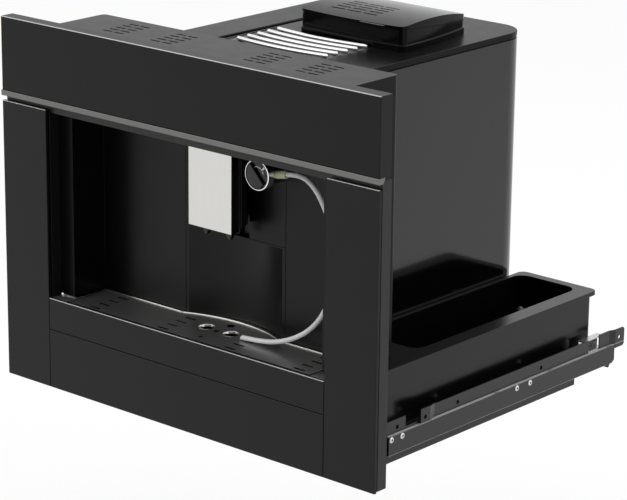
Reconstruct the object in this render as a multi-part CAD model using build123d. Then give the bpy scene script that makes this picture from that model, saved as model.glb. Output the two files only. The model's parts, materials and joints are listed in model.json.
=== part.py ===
from build123d import *
import math
import os

# Built-in coffee machine for a 450 mm high kitchen niche, modelled as its separate pieces.
# Units are millimetres. +X is right seen from the front, the front faces -Y, +Z is up.
# The origin is the middle of the front's bottom edge, in the plane of the front glass.

# ---------------------------------------------------------------- driving dimensions
# front
FRONT_W = 595.0            # whole front, side to side
FRONT_H = 455.0            # whole front, bottom to top
GLASS_T = 4.4              # glass of the pillars and of the lower panel
GLUE_GAP = 2.4             # glue land between a glass and its steel frame
FRAME_DEPTH = 22.0         # back of the steel frame, measured from the glass face
FRAME_INSET = 1.0          # the steel frame ends this far inside the glass edge
SHEET = 1.5                # folded sheet steel
PILLAR_W = 75.0
PILLAR_TOP = 351.0
STILE_TOP = 347.0          # top of the frame's uprights and lower edge of the rail over them
STILE_LIP = 26.0           # rear lip that the niche and the duct are fastened to
FRAME_FOOT = 0.8
SEAM = 0.8                 # gap between neighbouring fronts
LOWER_TOP = 75.0           # top of the lower front panel
TRAY_TOP = 115.0           # top of the drip tray's front
RAIL_OVERLAP = 3.0         # the trim strip laps this far over the top rail
STRIP_Z = 357.2            # trim strip under the control panel
STRIP_H = 6.8
STRIP_PROUD = 1.0
STRIP_OVER = (1.0, 0.2)    # the strip reaches this far past the front, left and right
STRIP_DEPTH = 9.0
PANEL_Z = STRIP_Z + STRIP_H
PANEL_DEPTH = 19.5
PANEL_WALL = 2.5
PANEL_FACE = 4.0

# duct housing behind the front, which carries the niche
DUCT_HALF = 232.0
DUCT_BACK = 110.0
DUCT_TOP = 450.0
DUCT_BOTTOM = 131.0
DUCT_SHEET = 1.5
VENT_X = (-152.0, -73.5, 73.5, 152.0)
VENT_Y = 68.0
VENT_ROWS = 5
VENT_PITCH = 11.0
VENT_SLOT = (15.5, 3.2)
VENT_SLOT_STEP = 18.5

# niche for the cups
NICHE_HALF = 200.0
NICHE_BACK = 75.0
NICHE_WALL = 2.0
NICHE_FLOOR = 116.4
NICHE_TOP = STILE_TOP
NICHE_LIP = 27.0           # front lip of the niche walls, behind the frame's uprights
COLUMN_LEFT = -62.0        # the panel behind the spout
COLUMN_RIGHT = 97.0
FASCIA_Z = 228.5
RECESS_DEPTH = 19.5        # how far the hollow under the fascia bows back
CUP_X = (COLUMN_LEFT + COLUMN_RIGHT) / 2 - 4.0
FIT = 0.3                  # running and seating gap between pieces

# spout
SPOUT_W = 67.5
SPOUT_Z = 242.5
SPOUT_TOP = 343.0
SPOUT_FRONT = 36.0
SPOUT_CAP_BACK = 51.0
NOZZLE_SPACING = 37.0
NOZZLE_R = 5.0
NOZZLE_BORE_R = 2.2
NOZZLE_DROP = 11.0
SPOUT_BODY_R = 37.0
SPOUT_TRAVEL = 65.0
CHANNEL_HALF = 27.0        # upright channel in the panel behind the spout
CHANNEL_DEPTH = 9.0
GUIDE_HALF = 8.0           # rib in the channel that the spout's runner straddles
GUIDE_H = 6.0

# milk frother dial, its outlet and hose
DIAL_X = 86.5
DIAL_Z = 321.5
DIAL_R = 18.4
DIAL_RING_T = 2.4
DIAL_FRONT = 36.0
DIAL_BACK = 46.0
DIAL_SHAFT_R = 3.0
SHAFT_GAP = 0.05
FROTHER_R = 15.5
FROTHER_PLUG_R = 9.3       # plug through the panel behind
OUTLET_FOOT = (84.4, 318.5)    # X and Z of the point in the frother that the outlet's line starts from
OUTLET_TILT = 11.0         # the outlet points right and this many degrees up
OUTLET_Y = 51.0
OUTLET_R = 3.6
CONNECTOR_R = 4.8
CONNECTOR_L = 16.5
HOSE_D = 6.0
HOSE_BORE = 3.6

# drip tray
GRID_HALF = 196.0
GRID_BACK = 74.4
GRID_ARC_HALF = 81.0
GRID_T = 1.2
GRID_RIM_H = 0.6
GRID_RIM_W = 3.2
TRAY_WALL = 2.2
TRAY_FLOOR_Z = 77.0
TRAY_HALF = 193.0
TRAY_WING_HALF = 220.0     # shallow wings that close the corners behind the tray front
TRAY_WING_BACK = 21.0
TAIL_SIDE = 8.0            # the tray's tail is this much wider than the column, each side
GROUNDS_BACK = 236.0
SLOT_X = (-155.0, -40.0, 67.0, 174.0)
SLOT_Y = (12.5, 28.3, 44.1, 59.9)
SLOT_SIZE = (17.0, 3.6)
# round holes in the grid: X from the middle of the cup place, Y, radius
GRID_HOLES = ((-19.5, 51.0, 10.0), (19.5, 51.0, 10.0), (0.0, 72.3, 5.0), (0.0, 47.3, 3.4), (0.0, 20.3, 2.5))

# machine body
BODY_HALF = 150.0
BODY_FRONT = DUCT_BACK + FIT
BODY_BACK = 464.0
BODY_BOTTOM = 24.0
BODY_TOP = 425.4
BODY_SHEET = 1.6
BODY_CORNER_R = 40.0
LID_Z = 428.6
LID_T = 5.4
LID_TOP = LID_Z + LID_T
LID_RIM_IN = BODY_SHEET + FIT

# cup warmer in the lid
WARMER_X = (-80.0, 78.0)
WARMER_Y = (160.0, 252.0)
WARMER_SINK = 3.0          # the warmer's plate lies this far below the lid's top
WARMER_T = 1.2
WARMER_SLOT = (4.0, 150.0)     # long slot in the lid, left of the warmer: width and length
BAR_COUNT = 5
BAR_PITCH = 18.0
BAR_FIRST_Y = 172.0
BAR_MIDDLE_X = 2.5
BAR_HALF = 69.0
BAR_D = 5.0
BAR_SAG = 6.0              # the bars bow this far towards the front
BAR_SEAT = 4.0             # length of a bar's end that lies on its seat

# bean hopper: the plan of its upper part has bowed sides and narrows towards the back
HOPPER_LEFT = -41.0
HOPPER_RIGHT = 121.0
HOPPER_RIGHT_BACK = 104.6
HOPPER_FRONT = 254.0
HOPPER_BACK = 392.0
HOPPER_FRONT_BOW = 4.0
HOPPER_SIDE_BOW = 4.7
HOPPER_BACK_BOW = 3.0
HOPPER_FRONT_R = 8.0
HOPPER_BACK_R = 14.0
HOPPER_RIM = (461.0, 449.0)    # level of the rim at the front corners and at the rear corners
HOPPER_WALL = 2.4
HOPPER_FLOOR = 2.6
COLLAR_H = 8.0
COLLAR_OUT = 1.5
GRINDER_X = 39.0
GRINDER_Y = 323.0
FUNNEL_SIZE = (130.0, 122.0)   # outside of the funnel's upper end, which passes through the body's lid
FUNNEL_R = 8.0
FUNNEL_GAP = 1.0           # between the funnel and the edge of the lid's opening
THROAT_HALF = 24.0
THROAT_R = 6.0
THROAT_Z = 386.0
HOPPER_LID_OVER = 0.8      # the lid reaches this far past the hopper's wall
HOPPER_LID_ARCH = (463.5, 467.0, 455.5)    # level of the lid's top in front, at its highest and behind
HOPPER_LID_SKIN = 3.0
SEAL_INSET = 3.0           # outer face of the seal, measured in from the hopper's outer face
SEAL_T = 1.5
SEAL_GAP = 0.1             # between the seal and the lid's inner ring
SEAL_Z = (444.0, 447.0)
LID_RING_T = 1.8
LID_RING_Z = 442.0
LID_LIP_X = (58.0, 96.0)
LID_LIP_OUT = 4.0
LID_LIP_Z = (461.6, 463.2)
GRILLE_SLOT = (22.0, 3.0)
GRILLE_X = (1.0, 26.0, 51.0)
GRILLE_Y = (276.0, 286.5, 297.0, 307.5, 318.0)

# water tank
TANK_X = (154.0, 260.0)
TANK_Y = (30.0, 462.0)
TANK_STEP = (206.0, 80.0)  # the tank's front inner corner steps back round the niche
TANK_Z = 18.3
TANK_RIM_Z = 119.0
TANK_RIM_TOP = 124.0
TANK_RIM_OUT = (3.2, 8.0)  # rim overhang on the body side and on the outer side
TANK_WALL = 2.6
WELL_X = (157.5, 246.0)
WELL_Y = (136.0, 450.0)
WELL_R = 16.0
GRIP_LEDGE_W = 4.0         # ledge under the rim that a hand lifts the tank by
GRIP_LEDGE_BACK = 287.0

# base and rails
BASE_HALF = 262.0
BASE_Y = (24.0, 412.0)
BASE_Z = 16.5
BASE_SKIRT_Z = 8.0         # the side flanges reach down past the floor to here
BASE_SKIRT_BACK = 428.0
BASE_WALL_H = 33.0
BASE_TONGUE_HALF = 214.0   # front tongue that is bolted to the frame's lower rail
BASE_TONGUE_TOP = 58.0
BRACKET_X = 280.0
BRACKET_Y = (46.0, 486.0)
BRACKET_Z = (27.0, 50.5)
BRACKET_SET = 4.5          # the flange and the rear tab stand this far inside the outer face
FLANGE_TOP = 67.0
RAIL_L = 400.0
RAIL_Y0 = 48.0
RAIL_T = 1.4               # sheet of the telescopic rails
RAIL_GAP = 0.4             # running gap between two rails, above and below
BRACKET_HOLE_Y = (64.0, 174.5, 336.5)
BRACKET_HOLE_R = 2.6
SCREW_Y = (51.0, 70.0, 285.0, 311.0)
SCREW_Z = 45.8
SCREW_R = 3.6
SCREW_NECK_R = 2.1         # lower end of the countersunk head
SCREW_SHANK_R = 1.6
SCREW_GAP = 0.08           # between the head and its countersink

HALF = FRONT_W / 2
OPEN_HALF = HALF - PILLAR_W


# ---------------------------------------------------------------- helpers
def block(x, y, z):
    """A box between the given low and high X, Y and Z."""
    size = [abs(v[1] - v[0]) for v in (x, y, z)]
    middle = [(v[0] + v[1]) / 2 for v in (x, y, z)]
    return Pos(*middle) * Box(*size)


def rod(radius, low, high, axis="z", at=(0, 0)):
    """A cylinder along an axis, from low to high, at the other two coordinates in X, Y, Z order."""
    length = high - low
    middle = (low + high) / 2
    if axis == "z":
        return Pos(at[0], at[1], middle) * Cylinder(radius, length)
    if axis == "y":
        return Pos(at[0], middle, at[1]) * Rot(90, 0, 0) * Cylinder(radius, length)
    return Pos(middle, at[0], at[1]) * Rot(0, 90, 0) * Cylinder(radius, length)


def plan(points, low, high):
    """A closed outline in X and Y, extruded from low to high in Z."""
    face = make_face(Polyline(*points, close=True))
    return Pos(0, 0, low) * extrude(face, high - low)


def section_yz(outline, low, high):
    """A closed outline in Y and Z, extruded from low to high along X."""
    return Pos(low, 0, 0) * extrude(make_face(Plane.YZ * outline), high - low, dir=(1, 0, 0))


def rounded(x, y, radius, low, high):
    """A box with its four upright edges rounded."""
    return fillet(block(x, y, (low, high)).edges().filter_by(Axis.Z), radius)


def mirror_x(shape):
    """The same shape on the other side of the middle plane."""
    return mirror(shape, about=Plane.YZ)


def joined(shapes):
    """One solid fused from several."""
    total = shapes[0]
    for shape in shapes[1:]:
        total = total + shape
    return total


PARTS = {}


def node(name, shape):
    PARTS[name] = shape


# ---------------------------------------------------------------- the front
LAND = GLASS_T + GLUE_GAP
FRAME_HALF = HALF - FRAME_INSET
LAND_IN = 6.0              # the glue land stays this far inside the glass edge


def frame_stile():
    """Right upright of the steel frame: a folded channel with a rear lip and a glue land in front."""
    outer = block((OPEN_HALF, FRAME_HALF), (LAND, FRAME_DEPTH), (FRAME_FOOT, STILE_TOP))
    inner = (OPEN_HALF + SHEET, FRAME_HALF - SHEET)
    inside = block(inner, (LAND + SHEET, FRAME_DEPTH - SHEET), (0, PILLAR_TOP))
    mouth = block((OPEN_HALF + STILE_LIP, inner[1]), (LAND + SHEET, FRAME_DEPTH + 1), (0, PILLAR_TOP))
    land = block((OPEN_HALF + LAND_IN, HALF - LAND_IN), (GLASS_T, LAND), (LAND_IN, STILE_TOP - LAND_IN))
    return outer - inside - mouth + land


node("frame_stile_right", frame_stile())
node("frame_stile_left", mirror_x(frame_stile()))

top_rail = block((-FRAME_HALF, FRAME_HALF), (LAND, FRAME_DEPTH), (STILE_TOP, STRIP_Z + RAIL_OVERLAP))
top_rail -= block((-FRAME_HALF + SHEET, FRAME_HALF - SHEET), (LAND + SHEET, FRAME_DEPTH + 1),
                  (STILE_TOP + SHEET, STRIP_Z + RAIL_OVERLAP - SHEET))
node("frame_top_rail", top_rail)

bottom_rail = block((-OPEN_HALF, OPEN_HALF), (LAND, FRAME_DEPTH), (FRAME_FOOT, LOWER_TOP - 1))
bottom_rail -= block((-OPEN_HALF - 1, OPEN_HALF + 1), (LAND + SHEET, FRAME_DEPTH + 1),
                     (FRAME_FOOT + SHEET, LOWER_TOP - 1 - SHEET))
land_x = (-OPEN_HALF + LAND_IN, OPEN_HALF - LAND_IN)
bottom_rail += block(land_x, (GLASS_T, LAND), (LAND_IN, LOWER_TOP - LAND_IN))
node("frame_bottom_rail", bottom_rail)


def glass_plate(x, z):
    """A glass front with its edges ground to a small bevel."""
    plate = block(x, (0, GLASS_T), z)
    return chamfer(plate.faces().sort_by(Axis.Y)[0].edges(), 0.5)


pillar = glass_plate((OPEN_HALF, HALF), (0, PILLAR_TOP))
node("pillar_panel_right", pillar)
node("pillar_panel_left", mirror_x(pillar))
node("lower_front_panel", glass_plate((-OPEN_HALF + SEAM, OPEN_HALF - SEAM), (0, LOWER_TOP - SEAM / 2)))

strip = block((-HALF - STRIP_OVER[0], HALF + STRIP_OVER[1]), (-STRIP_PROUD, STRIP_DEPTH), (STRIP_Z, PANEL_Z))
strip = fillet(strip.faces().sort_by(Axis.Y)[0].edges(), 0.6)
strip -= block((-HALF - 5, HALF + 5), (LAND - 0.1, STRIP_DEPTH + 1), (STRIP_Z - 1, STRIP_Z + RAIL_OVERLAP))
node("trim_strip", strip)

control_panel = block((-HALF, HALF), (0, PANEL_DEPTH), (PANEL_Z, FRONT_H))
control_panel = chamfer(control_panel.faces().sort_by(Axis.Y)[0].edges(), 0.6)
control_panel -= block((-HALF + PANEL_WALL, HALF - PANEL_WALL), (PANEL_FACE, PANEL_DEPTH + 1),
                       (PANEL_Z + PANEL_WALL, FRONT_H - PANEL_WALL))
BOARD_HALF = 118.0
BOARD_Z = (382.0, 440.0)
BOSS_Y = PANEL_FACE + 4.0
BOSS_R = 3.5
BOSS_IN = 8.0              # from the board's corner to the boss, both ways
for x in (-BOARD_HALF + BOSS_IN, BOARD_HALF - BOSS_IN):
    for z in (BOARD_Z[0] + BOSS_IN, BOARD_Z[1] - BOSS_IN):
        control_panel += rod(BOSS_R, PANEL_FACE - 0.5, BOSS_Y, "y", (x, z))
node("control_panel", control_panel)

BOARD_T = 1.6
# middle in X and Z, width, height and thickness of the board's larger components
COMPONENTS = ((-60, 412, 30, 22, 2.2), (10, 405, 14, 14, 1.6), (55, 415, 40, 8, 5.0), (-10, 428, 60, 6, 1.2))
board_back = BOSS_Y + BOARD_T
board = block((-BOARD_HALF, BOARD_HALF), (BOSS_Y, board_back), BOARD_Z)
for x, z, w, h, t in COMPONENTS:
    board += block((x - w / 2, x + w / 2), (board_back, board_back + t), (z - h / 2, z + h / 2))
node("control_board", board)


# ---------------------------------------------------------------- duct housing and niche
DUCT_CORNER_R = 6.0
DUCT_LAP = 10.0            # the duct's back wall laps this far over the body's front edge
DUCT_FLANGE = 15.0


def vent_plate():
    """Top of the duct housing, folded up behind the control panel and down over the body's lid."""
    front = PANEL_DEPTH + FIT
    plate = block((-DUCT_HALF, DUCT_HALF), (front, DUCT_BACK), (DUCT_TOP - DUCT_SHEET, DUCT_TOP))
    back = plate.edges().filter_by(Axis.Z).sort_by(Axis.Y)[-2:]
    plate = fillet(back, DUCT_CORNER_R)
    plate += block((-DUCT_HALF, DUCT_HALF), (front, front + DUCT_SHEET), (DUCT_TOP - DUCT_SHEET, FRONT_H - 1))
    lap = BODY_HALF - DUCT_LAP - FIT
    plate += block((-lap, lap), (DUCT_BACK - DUCT_SHEET, DUCT_BACK), (LID_TOP - LID_T, DUCT_TOP))
    slot = extrude(SlotOverall(VENT_SLOT[0], VENT_SLOT[1]), 10)
    cuts = []
    for centre in VENT_X:
        for row in range(VENT_ROWS):
            y = VENT_Y + (row - (VENT_ROWS - 1) / 2) * VENT_PITCH
            for side in (-0.5, 0.5):
                cuts.append(Pos(centre + side * VENT_SLOT_STEP, y, DUCT_TOP - 5) * slot)
    return plate - cuts


node("vent_plate", vent_plate())


def duct_side():
    """Right side of the duct housing: one sheet folded from the frame, round the corner, to the body."""
    outer = block((BODY_HALF - DUCT_LAP, DUCT_HALF), (FRAME_DEPTH, DUCT_BACK),
                  (DUCT_BOTTOM, DUCT_TOP - DUCT_SHEET))
    outer = fillet(outer.edges().filter_by(Axis.Z).sort_by(Axis.Y)[-2:].sort_by(Axis.X)[-1:], DUCT_CORNER_R)
    inner = block((0, DUCT_HALF - DUCT_SHEET), (0, DUCT_BACK - DUCT_SHEET), (0, DUCT_TOP))
    inner = fillet(inner.edges().filter_by(Axis.Z).sort_by(Axis.Y)[-2:].sort_by(Axis.X)[-1:],
                   DUCT_CORNER_R - DUCT_SHEET)
    flange = block((DUCT_HALF - DUCT_SHEET, DUCT_HALF + DUCT_FLANGE), (FRAME_DEPTH, FRAME_DEPTH + DUCT_SHEET),
                   (DUCT_BOTTOM, STILE_TOP))
    return outer - inner + flange


node("duct_sides", Compound([duct_side(), mirror_x(duct_side())]))


def niche_side(sign, column_edge):
    """One side of the niche: the side wall and its half of the back wall, in one moulding."""
    wall_in = sign * NICHE_HALF
    wall_out = sign * (NICHE_HALF + NICHE_WALL)
    lip = sign * (NICHE_HALF + NICHE_LIP)
    outline = [(wall_in, FRAME_DEPTH + FIT), (wall_in, NICHE_BACK), (column_edge, NICHE_BACK),
               (column_edge, NICHE_BACK + NICHE_WALL), (wall_out, NICHE_BACK + NICHE_WALL),
               (wall_out, FRAME_DEPTH + FIT + NICHE_WALL), (lip, FRAME_DEPTH + FIT + NICHE_WALL),
               (lip, FRAME_DEPTH + FIT)]
    return plan(outline, NICHE_FLOOR, NICHE_TOP)


node("niche_wall_left", niche_side(-1, COLUMN_LEFT - 0.5))
node("niche_wall_right", niche_side(1, COLUMN_RIGHT + 0.5))
node("niche_ceiling", block((-NICHE_HALF - NICHE_LIP, NICHE_HALF + NICHE_LIP),
                            (FRAME_DEPTH + FIT, NICHE_BACK + NICHE_WALL + CHANNEL_DEPTH),
                            (NICHE_TOP, NICHE_TOP + NICHE_WALL)))


def fascia():
    """Panel behind the spout, with an upright channel and the rib that the spout's runner straddles."""
    t = NICHE_WALL
    a, b = CUP_X - CHANNEL_HALF, CUP_X + CHANNEL_HALF
    y = NICHE_BACK
    slant = 3.0
    grow = t * 0.9
    deep = y + CHANNEL_DEPTH
    outline = [(COLUMN_LEFT, y), (a, y), (a + slant, deep), (b - slant, deep), (b, y), (COLUMN_RIGHT, y),
               (COLUMN_RIGHT, y + t), (b + grow, y + t), (b - slant + grow, deep + t),
               (a + slant - grow, deep + t),
               (a - grow, y + t), (COLUMN_LEFT, y + t)]
    panel = plan(outline, FASCIA_Z, NICHE_TOP)
    rib = block((CUP_X - GUIDE_HALF, CUP_X + GUIDE_HALF), (deep - GUIDE_H, deep + t / 2),
                (FASCIA_Z, NICHE_TOP))
    panel += chamfer(rib.edges().filter_by(Axis.Z).sort_by(Axis.Y)[:2], 1.5)
    return panel - rod(FROTHER_PLUG_R + FIT, NICHE_BACK - 1, NICHE_BACK + 4, "y", (DIAL_X, DIAL_Z))


node("column_fascia", fascia())


def cup_recess():
    """Hollow for the cups under the fascia: part of a cylinder, closed at its top."""
    middle = (COLUMN_RIGHT + COLUMN_LEFT) / 2

    def segment(y0, grow, low, high):
        arc = ThreePointArc((COLUMN_LEFT + 3 - grow, y0), (middle, y0 + RECESS_DEPTH + grow * 0.4),
                            (COLUMN_RIGHT - 3 + grow, y0))
        face = make_face(arc + Line((COLUMN_RIGHT - 3 + grow, y0), (COLUMN_LEFT + 3 - grow, y0)))
        return Pos(0, 0, low) * extrude(face, high - low)

    outer = segment(NICHE_BACK, 3.0, NICHE_FLOOR, FASCIA_Z - 0.4)
    outer += segment(NICHE_BACK + 2.2, 3.0, NICHE_FLOOR, FASCIA_Z - 0.4)
    inner = segment(NICHE_BACK - 1.0, 0.0, NICHE_FLOOR - 1, FASCIA_Z - 0.4 - NICHE_WALL)
    inner += block((COLUMN_LEFT + 3, COLUMN_RIGHT - 3), (NICHE_BACK - 5, NICHE_BACK - 0.99),
                   (NICHE_FLOOR - 1, FASCIA_Z - 0.4 - NICHE_WALL))
    return outer - inner


node("cup_recess", cup_recess())

# ---------------------------------------------------------------- spout
cap_x = (CUP_X - SPOUT_W / 2, CUP_X + SPOUT_W / 2)
face_plate = block(cap_x, (SPOUT_FRONT, SPOUT_FRONT + 1.2), (SPOUT_Z, SPOUT_TOP))
node("spout_face", fillet(face_plate.edges().filter_by(Axis.Y), 0.5))

SHELL_T = 2.6
NOZZLE_SEAT = 9.0
RUNNER_IN = 8.0            # the runner is this much narrower than half the channel
BODY_LIFT = 6.0            # the round rear body ends this far above the cap's lower edge


def spout_housing():
    """Cap and round rear body in one moulding, hollow from behind, with a runner for the channel's rib."""
    cap = block(cap_x, (SPOUT_FRONT + 1.2, SPOUT_CAP_BACK), (SPOUT_Z + 0.4, SPOUT_TOP))
    cap = fillet(cap.edges().filter_by(Axis.Z).sort_by(Axis.Y)[-2:], 2.0)
    low = SPOUT_Z + BODY_LIFT
    back = NICHE_BACK - FIT
    body = rod(SPOUT_BODY_R, low, SPOUT_TOP, "z", (CUP_X, SPOUT_CAP_BACK - 4))
    body &= block((CUP_X - SPOUT_BODY_R, CUP_X + SPOUT_BODY_R), (SPOUT_CAP_BACK - 1, back), (low, SPOUT_TOP))
    runner_half = CHANNEL_HALF - RUNNER_IN
    hollow = rod(SPOUT_BODY_R - SHELL_T, low + SHELL_T, SPOUT_TOP - SHELL_T, "z", (CUP_X, SPOUT_CAP_BACK - 4))
    hollow &= block((CUP_X - SPOUT_BODY_R, CUP_X + SPOUT_BODY_R), (SPOUT_CAP_BACK + SHELL_T, back + 1),
                    (low, SPOUT_TOP))
    hollow -= block((CUP_X - runner_half, CUP_X + runner_half), (0, back + 2), (low, SPOUT_TOP))
    runner_low = max(FASCIA_Z + SPOUT_TRAVEL + 2, low)
    runner = block((CUP_X - runner_half, CUP_X + runner_half), (back - 1, NICHE_BACK + CHANNEL_DEPTH - FIT),
                   (runner_low, SPOUT_TOP - 4))
    deep = NICHE_BACK + CHANNEL_DEPTH
    slot = block((CUP_X - GUIDE_HALF - FIT, CUP_X + GUIDE_HALF + FIT), (deep - GUIDE_H - FIT, deep + 1),
                 (low, SPOUT_TOP))
    housing = cap + body - hollow + runner - slot
    for side in (-0.5, 0.5):
        housing -= rod(NOZZLE_R, SPOUT_Z - 1, SPOUT_Z + NOZZLE_SEAT, "z",
                       (CUP_X + side * NOZZLE_SPACING, SPOUT_CAP_BACK))
    return housing


node("spout_housing", spout_housing())


def coffee_nozzle(x):
    """One outlet: a tube seated in the spout, narrowing to its mouth, with a through bore."""
    tube = rod(NOZZLE_R, SPOUT_Z - NOZZLE_DROP + 4, SPOUT_Z + NOZZLE_SEAT, "z", (x, SPOUT_CAP_BACK))
    tip = Pos(x, SPOUT_CAP_BACK, SPOUT_Z - NOZZLE_DROP + 2) * Cone(NOZZLE_R - 1.6, NOZZLE_R, 4)
    return tube + tip - rod(NOZZLE_BORE_R, SPOUT_Z - NOZZLE_DROP - 1, SPOUT_Z + 10, "z", (x, SPOUT_CAP_BACK))


nozzles = [coffee_nozzle(CUP_X + side * NOZZLE_SPACING) for side in (-0.5, 0.5)]
node("coffee_nozzles", Compound(nozzles))

# ---------------------------------------------------------------- milk frother, dial and hose
tilt = math.radians(OUTLET_TILT)
outlet_dir = Vector(math.cos(tilt), 0, math.sin(tilt))


def outlet_rod(radius, low, high):
    """A cylinder along the frother's outlet, measured from the outlet's foot."""
    middle = (low + high) / 2
    spot = Vector(OUTLET_FOOT[0], OUTLET_Y, OUTLET_FOOT[1]) + outlet_dir * middle
    return Pos(spot.X, spot.Y, spot.Z) * Rot(0, 90 - OUTLET_TILT, 0) * Cylinder(radius, high - low)


STUB_END = 23.0
SLEEVE_START = 19.5
frother = rod(FROTHER_R, DIAL_BACK + FIT, NICHE_BACK, "y", (DIAL_X, DIAL_Z))
frother = fillet(frother.edges().filter_by(GeomType.CIRCLE).sort_by(Axis.Y)[:1], 1.5)
frother += rod(FROTHER_PLUG_R, NICHE_BACK - 1, NICHE_BACK + 6, "y", (DIAL_X, DIAL_Z))
frother += outlet_rod(OUTLET_R, 8, STUB_END)
frother -= rod(DIAL_SHAFT_R + SHAFT_GAP, DIAL_BACK - 1, DIAL_BACK + 9, "y", (DIAL_X, DIAL_Z))
node("frother_body", frother)

sleeve = outlet_rod(CONNECTOR_R, SLEEVE_START, SLEEVE_START + CONNECTOR_L)
sleeve = fillet(sleeve.edges().filter_by(GeomType.CIRCLE), 1.0)
sleeve -= outlet_rod(OUTLET_R, 0, STUB_END)
sleeve -= outlet_rod(HOSE_BORE / 2, STUB_END - 1, SLEEVE_START + CONNECTOR_L + 1)
node("milk_connector", sleeve)

ring = rod(DIAL_R, DIAL_FRONT, DIAL_BACK, "y", (DIAL_X, DIAL_Z))
ring = fillet(ring.edges().filter_by(GeomType.CIRCLE).sort_by(Axis.Y)[:1], 1.0)
ring -= rod(DIAL_R - DIAL_RING_T, DIAL_FRONT - 1, DIAL_BACK + 1, "y", (DIAL_X, DIAL_Z))
node("dial_ring", ring)

GRIP_ANGLE = 48.0
GRIP_PROUD = 3.0           # the grip stands this far in front of the ring
GRIP_HALF_W = 3.2
GRIP_HALF_L = DIAL_R - DIAL_RING_T - 1.2
DISC_SINK = 4.0            # the disc lies this far behind the ring's front
disc = rod(DIAL_R - DIAL_RING_T, DIAL_FRONT + DISC_SINK, DIAL_BACK, "y", (DIAL_X, DIAL_Z))
grip = block((-GRIP_HALF_L, GRIP_HALF_L), (DIAL_FRONT - GRIP_PROUD, DIAL_FRONT + DISC_SINK + 1),
             (-GRIP_HALF_W, GRIP_HALF_W))
grip = fillet(grip.faces().sort_by(Axis.Y)[0].edges(), 1.4)
grip = Pos(DIAL_X, 0, DIAL_Z) * Rot(0, GRIP_ANGLE, 0) * grip
disc = disc + grip + rod(DIAL_SHAFT_R, DIAL_BACK - 1, DIAL_BACK + 8, "y", (DIAL_X, DIAL_Z))
node("frother_dial", disc)

# The hose's route, from its exit on the connector to its cut end on the grid.
hose_exit = Vector(OUTLET_FOOT[0], OUTLET_Y, OUTLET_FOOT[1]) + outlet_dir * (SLEEVE_START + CONNECTOR_L)
hose_second = hose_exit + outlet_dir * 19.0
HOSE_ROUTE = [
    (hose_exit.X, hose_exit.Y, hose_exit.Z),
    (hose_second.X, hose_second.Y, hose_second.Z),
    (159.5, 50.5, 320.5),
    (175.5, 50.0, 301.5),
    (187.5, 50.5, 275.5),
    (193.0, 51.5, 245.0),
    (192.0, 51.0, 212.5),
    (183.0, 50.0, 182.0),
    (167.0, 49.0, 157.0),
    (144.5, 47.5, 138.5),
    (117.5, 45.5, 126.0),
    (89.0, 43.5, 120.2),
    (61.0, 42.5, 119.0),
]


def hose():
    """The silicone hose: straight runs joined by the largest tangent arcs that fit."""
    points = [Vector(*p) for p in HOSE_ROUTE]
    radii = []
    for before, here, after in zip(points, points[1:], points[2:]):
        turn = (here - before).get_angle(after - here)
        shorter = min((here - before).length, (after - here).length)
        radii.append(0.45 * shorter / math.tan(math.radians(turn) / 2))
    path = FilletPolyline(*points, radius=radii)
    start = Plane(origin=points[0], z_dir=points[1] - points[0])
    tube = sweep(start * Circle(HOSE_D / 2), path=path)
    want = math.pi * (HOSE_D / 2) ** 2 * path.length
    print("hose length", round(path.length, 1), "least radius", round(min(radii), 1),
          "volume share", round(tube.volume / want, 4))
    return tube


node("milk_hose", hose())


# ---------------------------------------------------------------- drip tray
def grid_outline(grow, low, high):
    """The grid's plan: straight sides and a rear edge that bows back into the cup recess."""
    x = GRID_HALF + grow
    back = GRID_BACK + grow
    arc_x = GRID_ARC_HALF + grow * 0.3
    front = GLASS_T + 2.2
    line = (Line((-x, front), (x, front)) + Line((x, front), (x, back))
            + Line((x, back), (CUP_X + arc_x, back))
            + ThreePointArc((CUP_X + arc_x, back), (CUP_X, back + RECESS_DEPTH - 1.2), (CUP_X - arc_x, back))
            + Line((CUP_X - arc_x, back), (-x, back)) + Line((-x, back), (-x, front)))
    return Pos(0, 0, low) * extrude(make_face(line), high - low)


def drip_grid():
    """Steel grid with a raised rim, slots, two wide holes under the spout and three small ones."""
    plate = grid_outline(0, TRAY_TOP - GRID_T, TRAY_TOP)
    rim = grid_outline(0, TRAY_TOP - GRID_T - 2.0, TRAY_TOP + GRID_RIM_H)
    rim -= grid_outline(-GRID_RIM_W, TRAY_TOP - 10, TRAY_TOP + 10)
    sheet = plate + rim
    slot = extrude(SlotOverall(SLOT_SIZE[0], SLOT_SIZE[1]), 10)
    cuts = [Pos(x, y, TRAY_TOP - 5) * slot for x in SLOT_X for y in SLOT_Y]
    cuts += [rod(r, TRAY_TOP - 5, TRAY_TOP + 5, "z", (CUP_X + x, y)) for x, y, r in GRID_HOLES]
    return sheet - cuts


node("drip_grid", drip_grid())

tray_front = block((-OPEN_HALF + SEAM, OPEN_HALF - SEAM), (0, GLASS_T), (LOWER_TOP + SEAM / 2, TRAY_TOP))
tray_front = chamfer(tray_front.faces().sort_by(Axis.Y)[0].edges(), 0.5)
node("tray_front", tray_front)


TAIL_X = (COLUMN_LEFT - TAIL_SIDE, COLUMN_RIGHT + TAIL_SIDE)
TAIL_Y = GRID_BACK + 24.0  # the tail's deep part starts behind the cup recess


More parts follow.
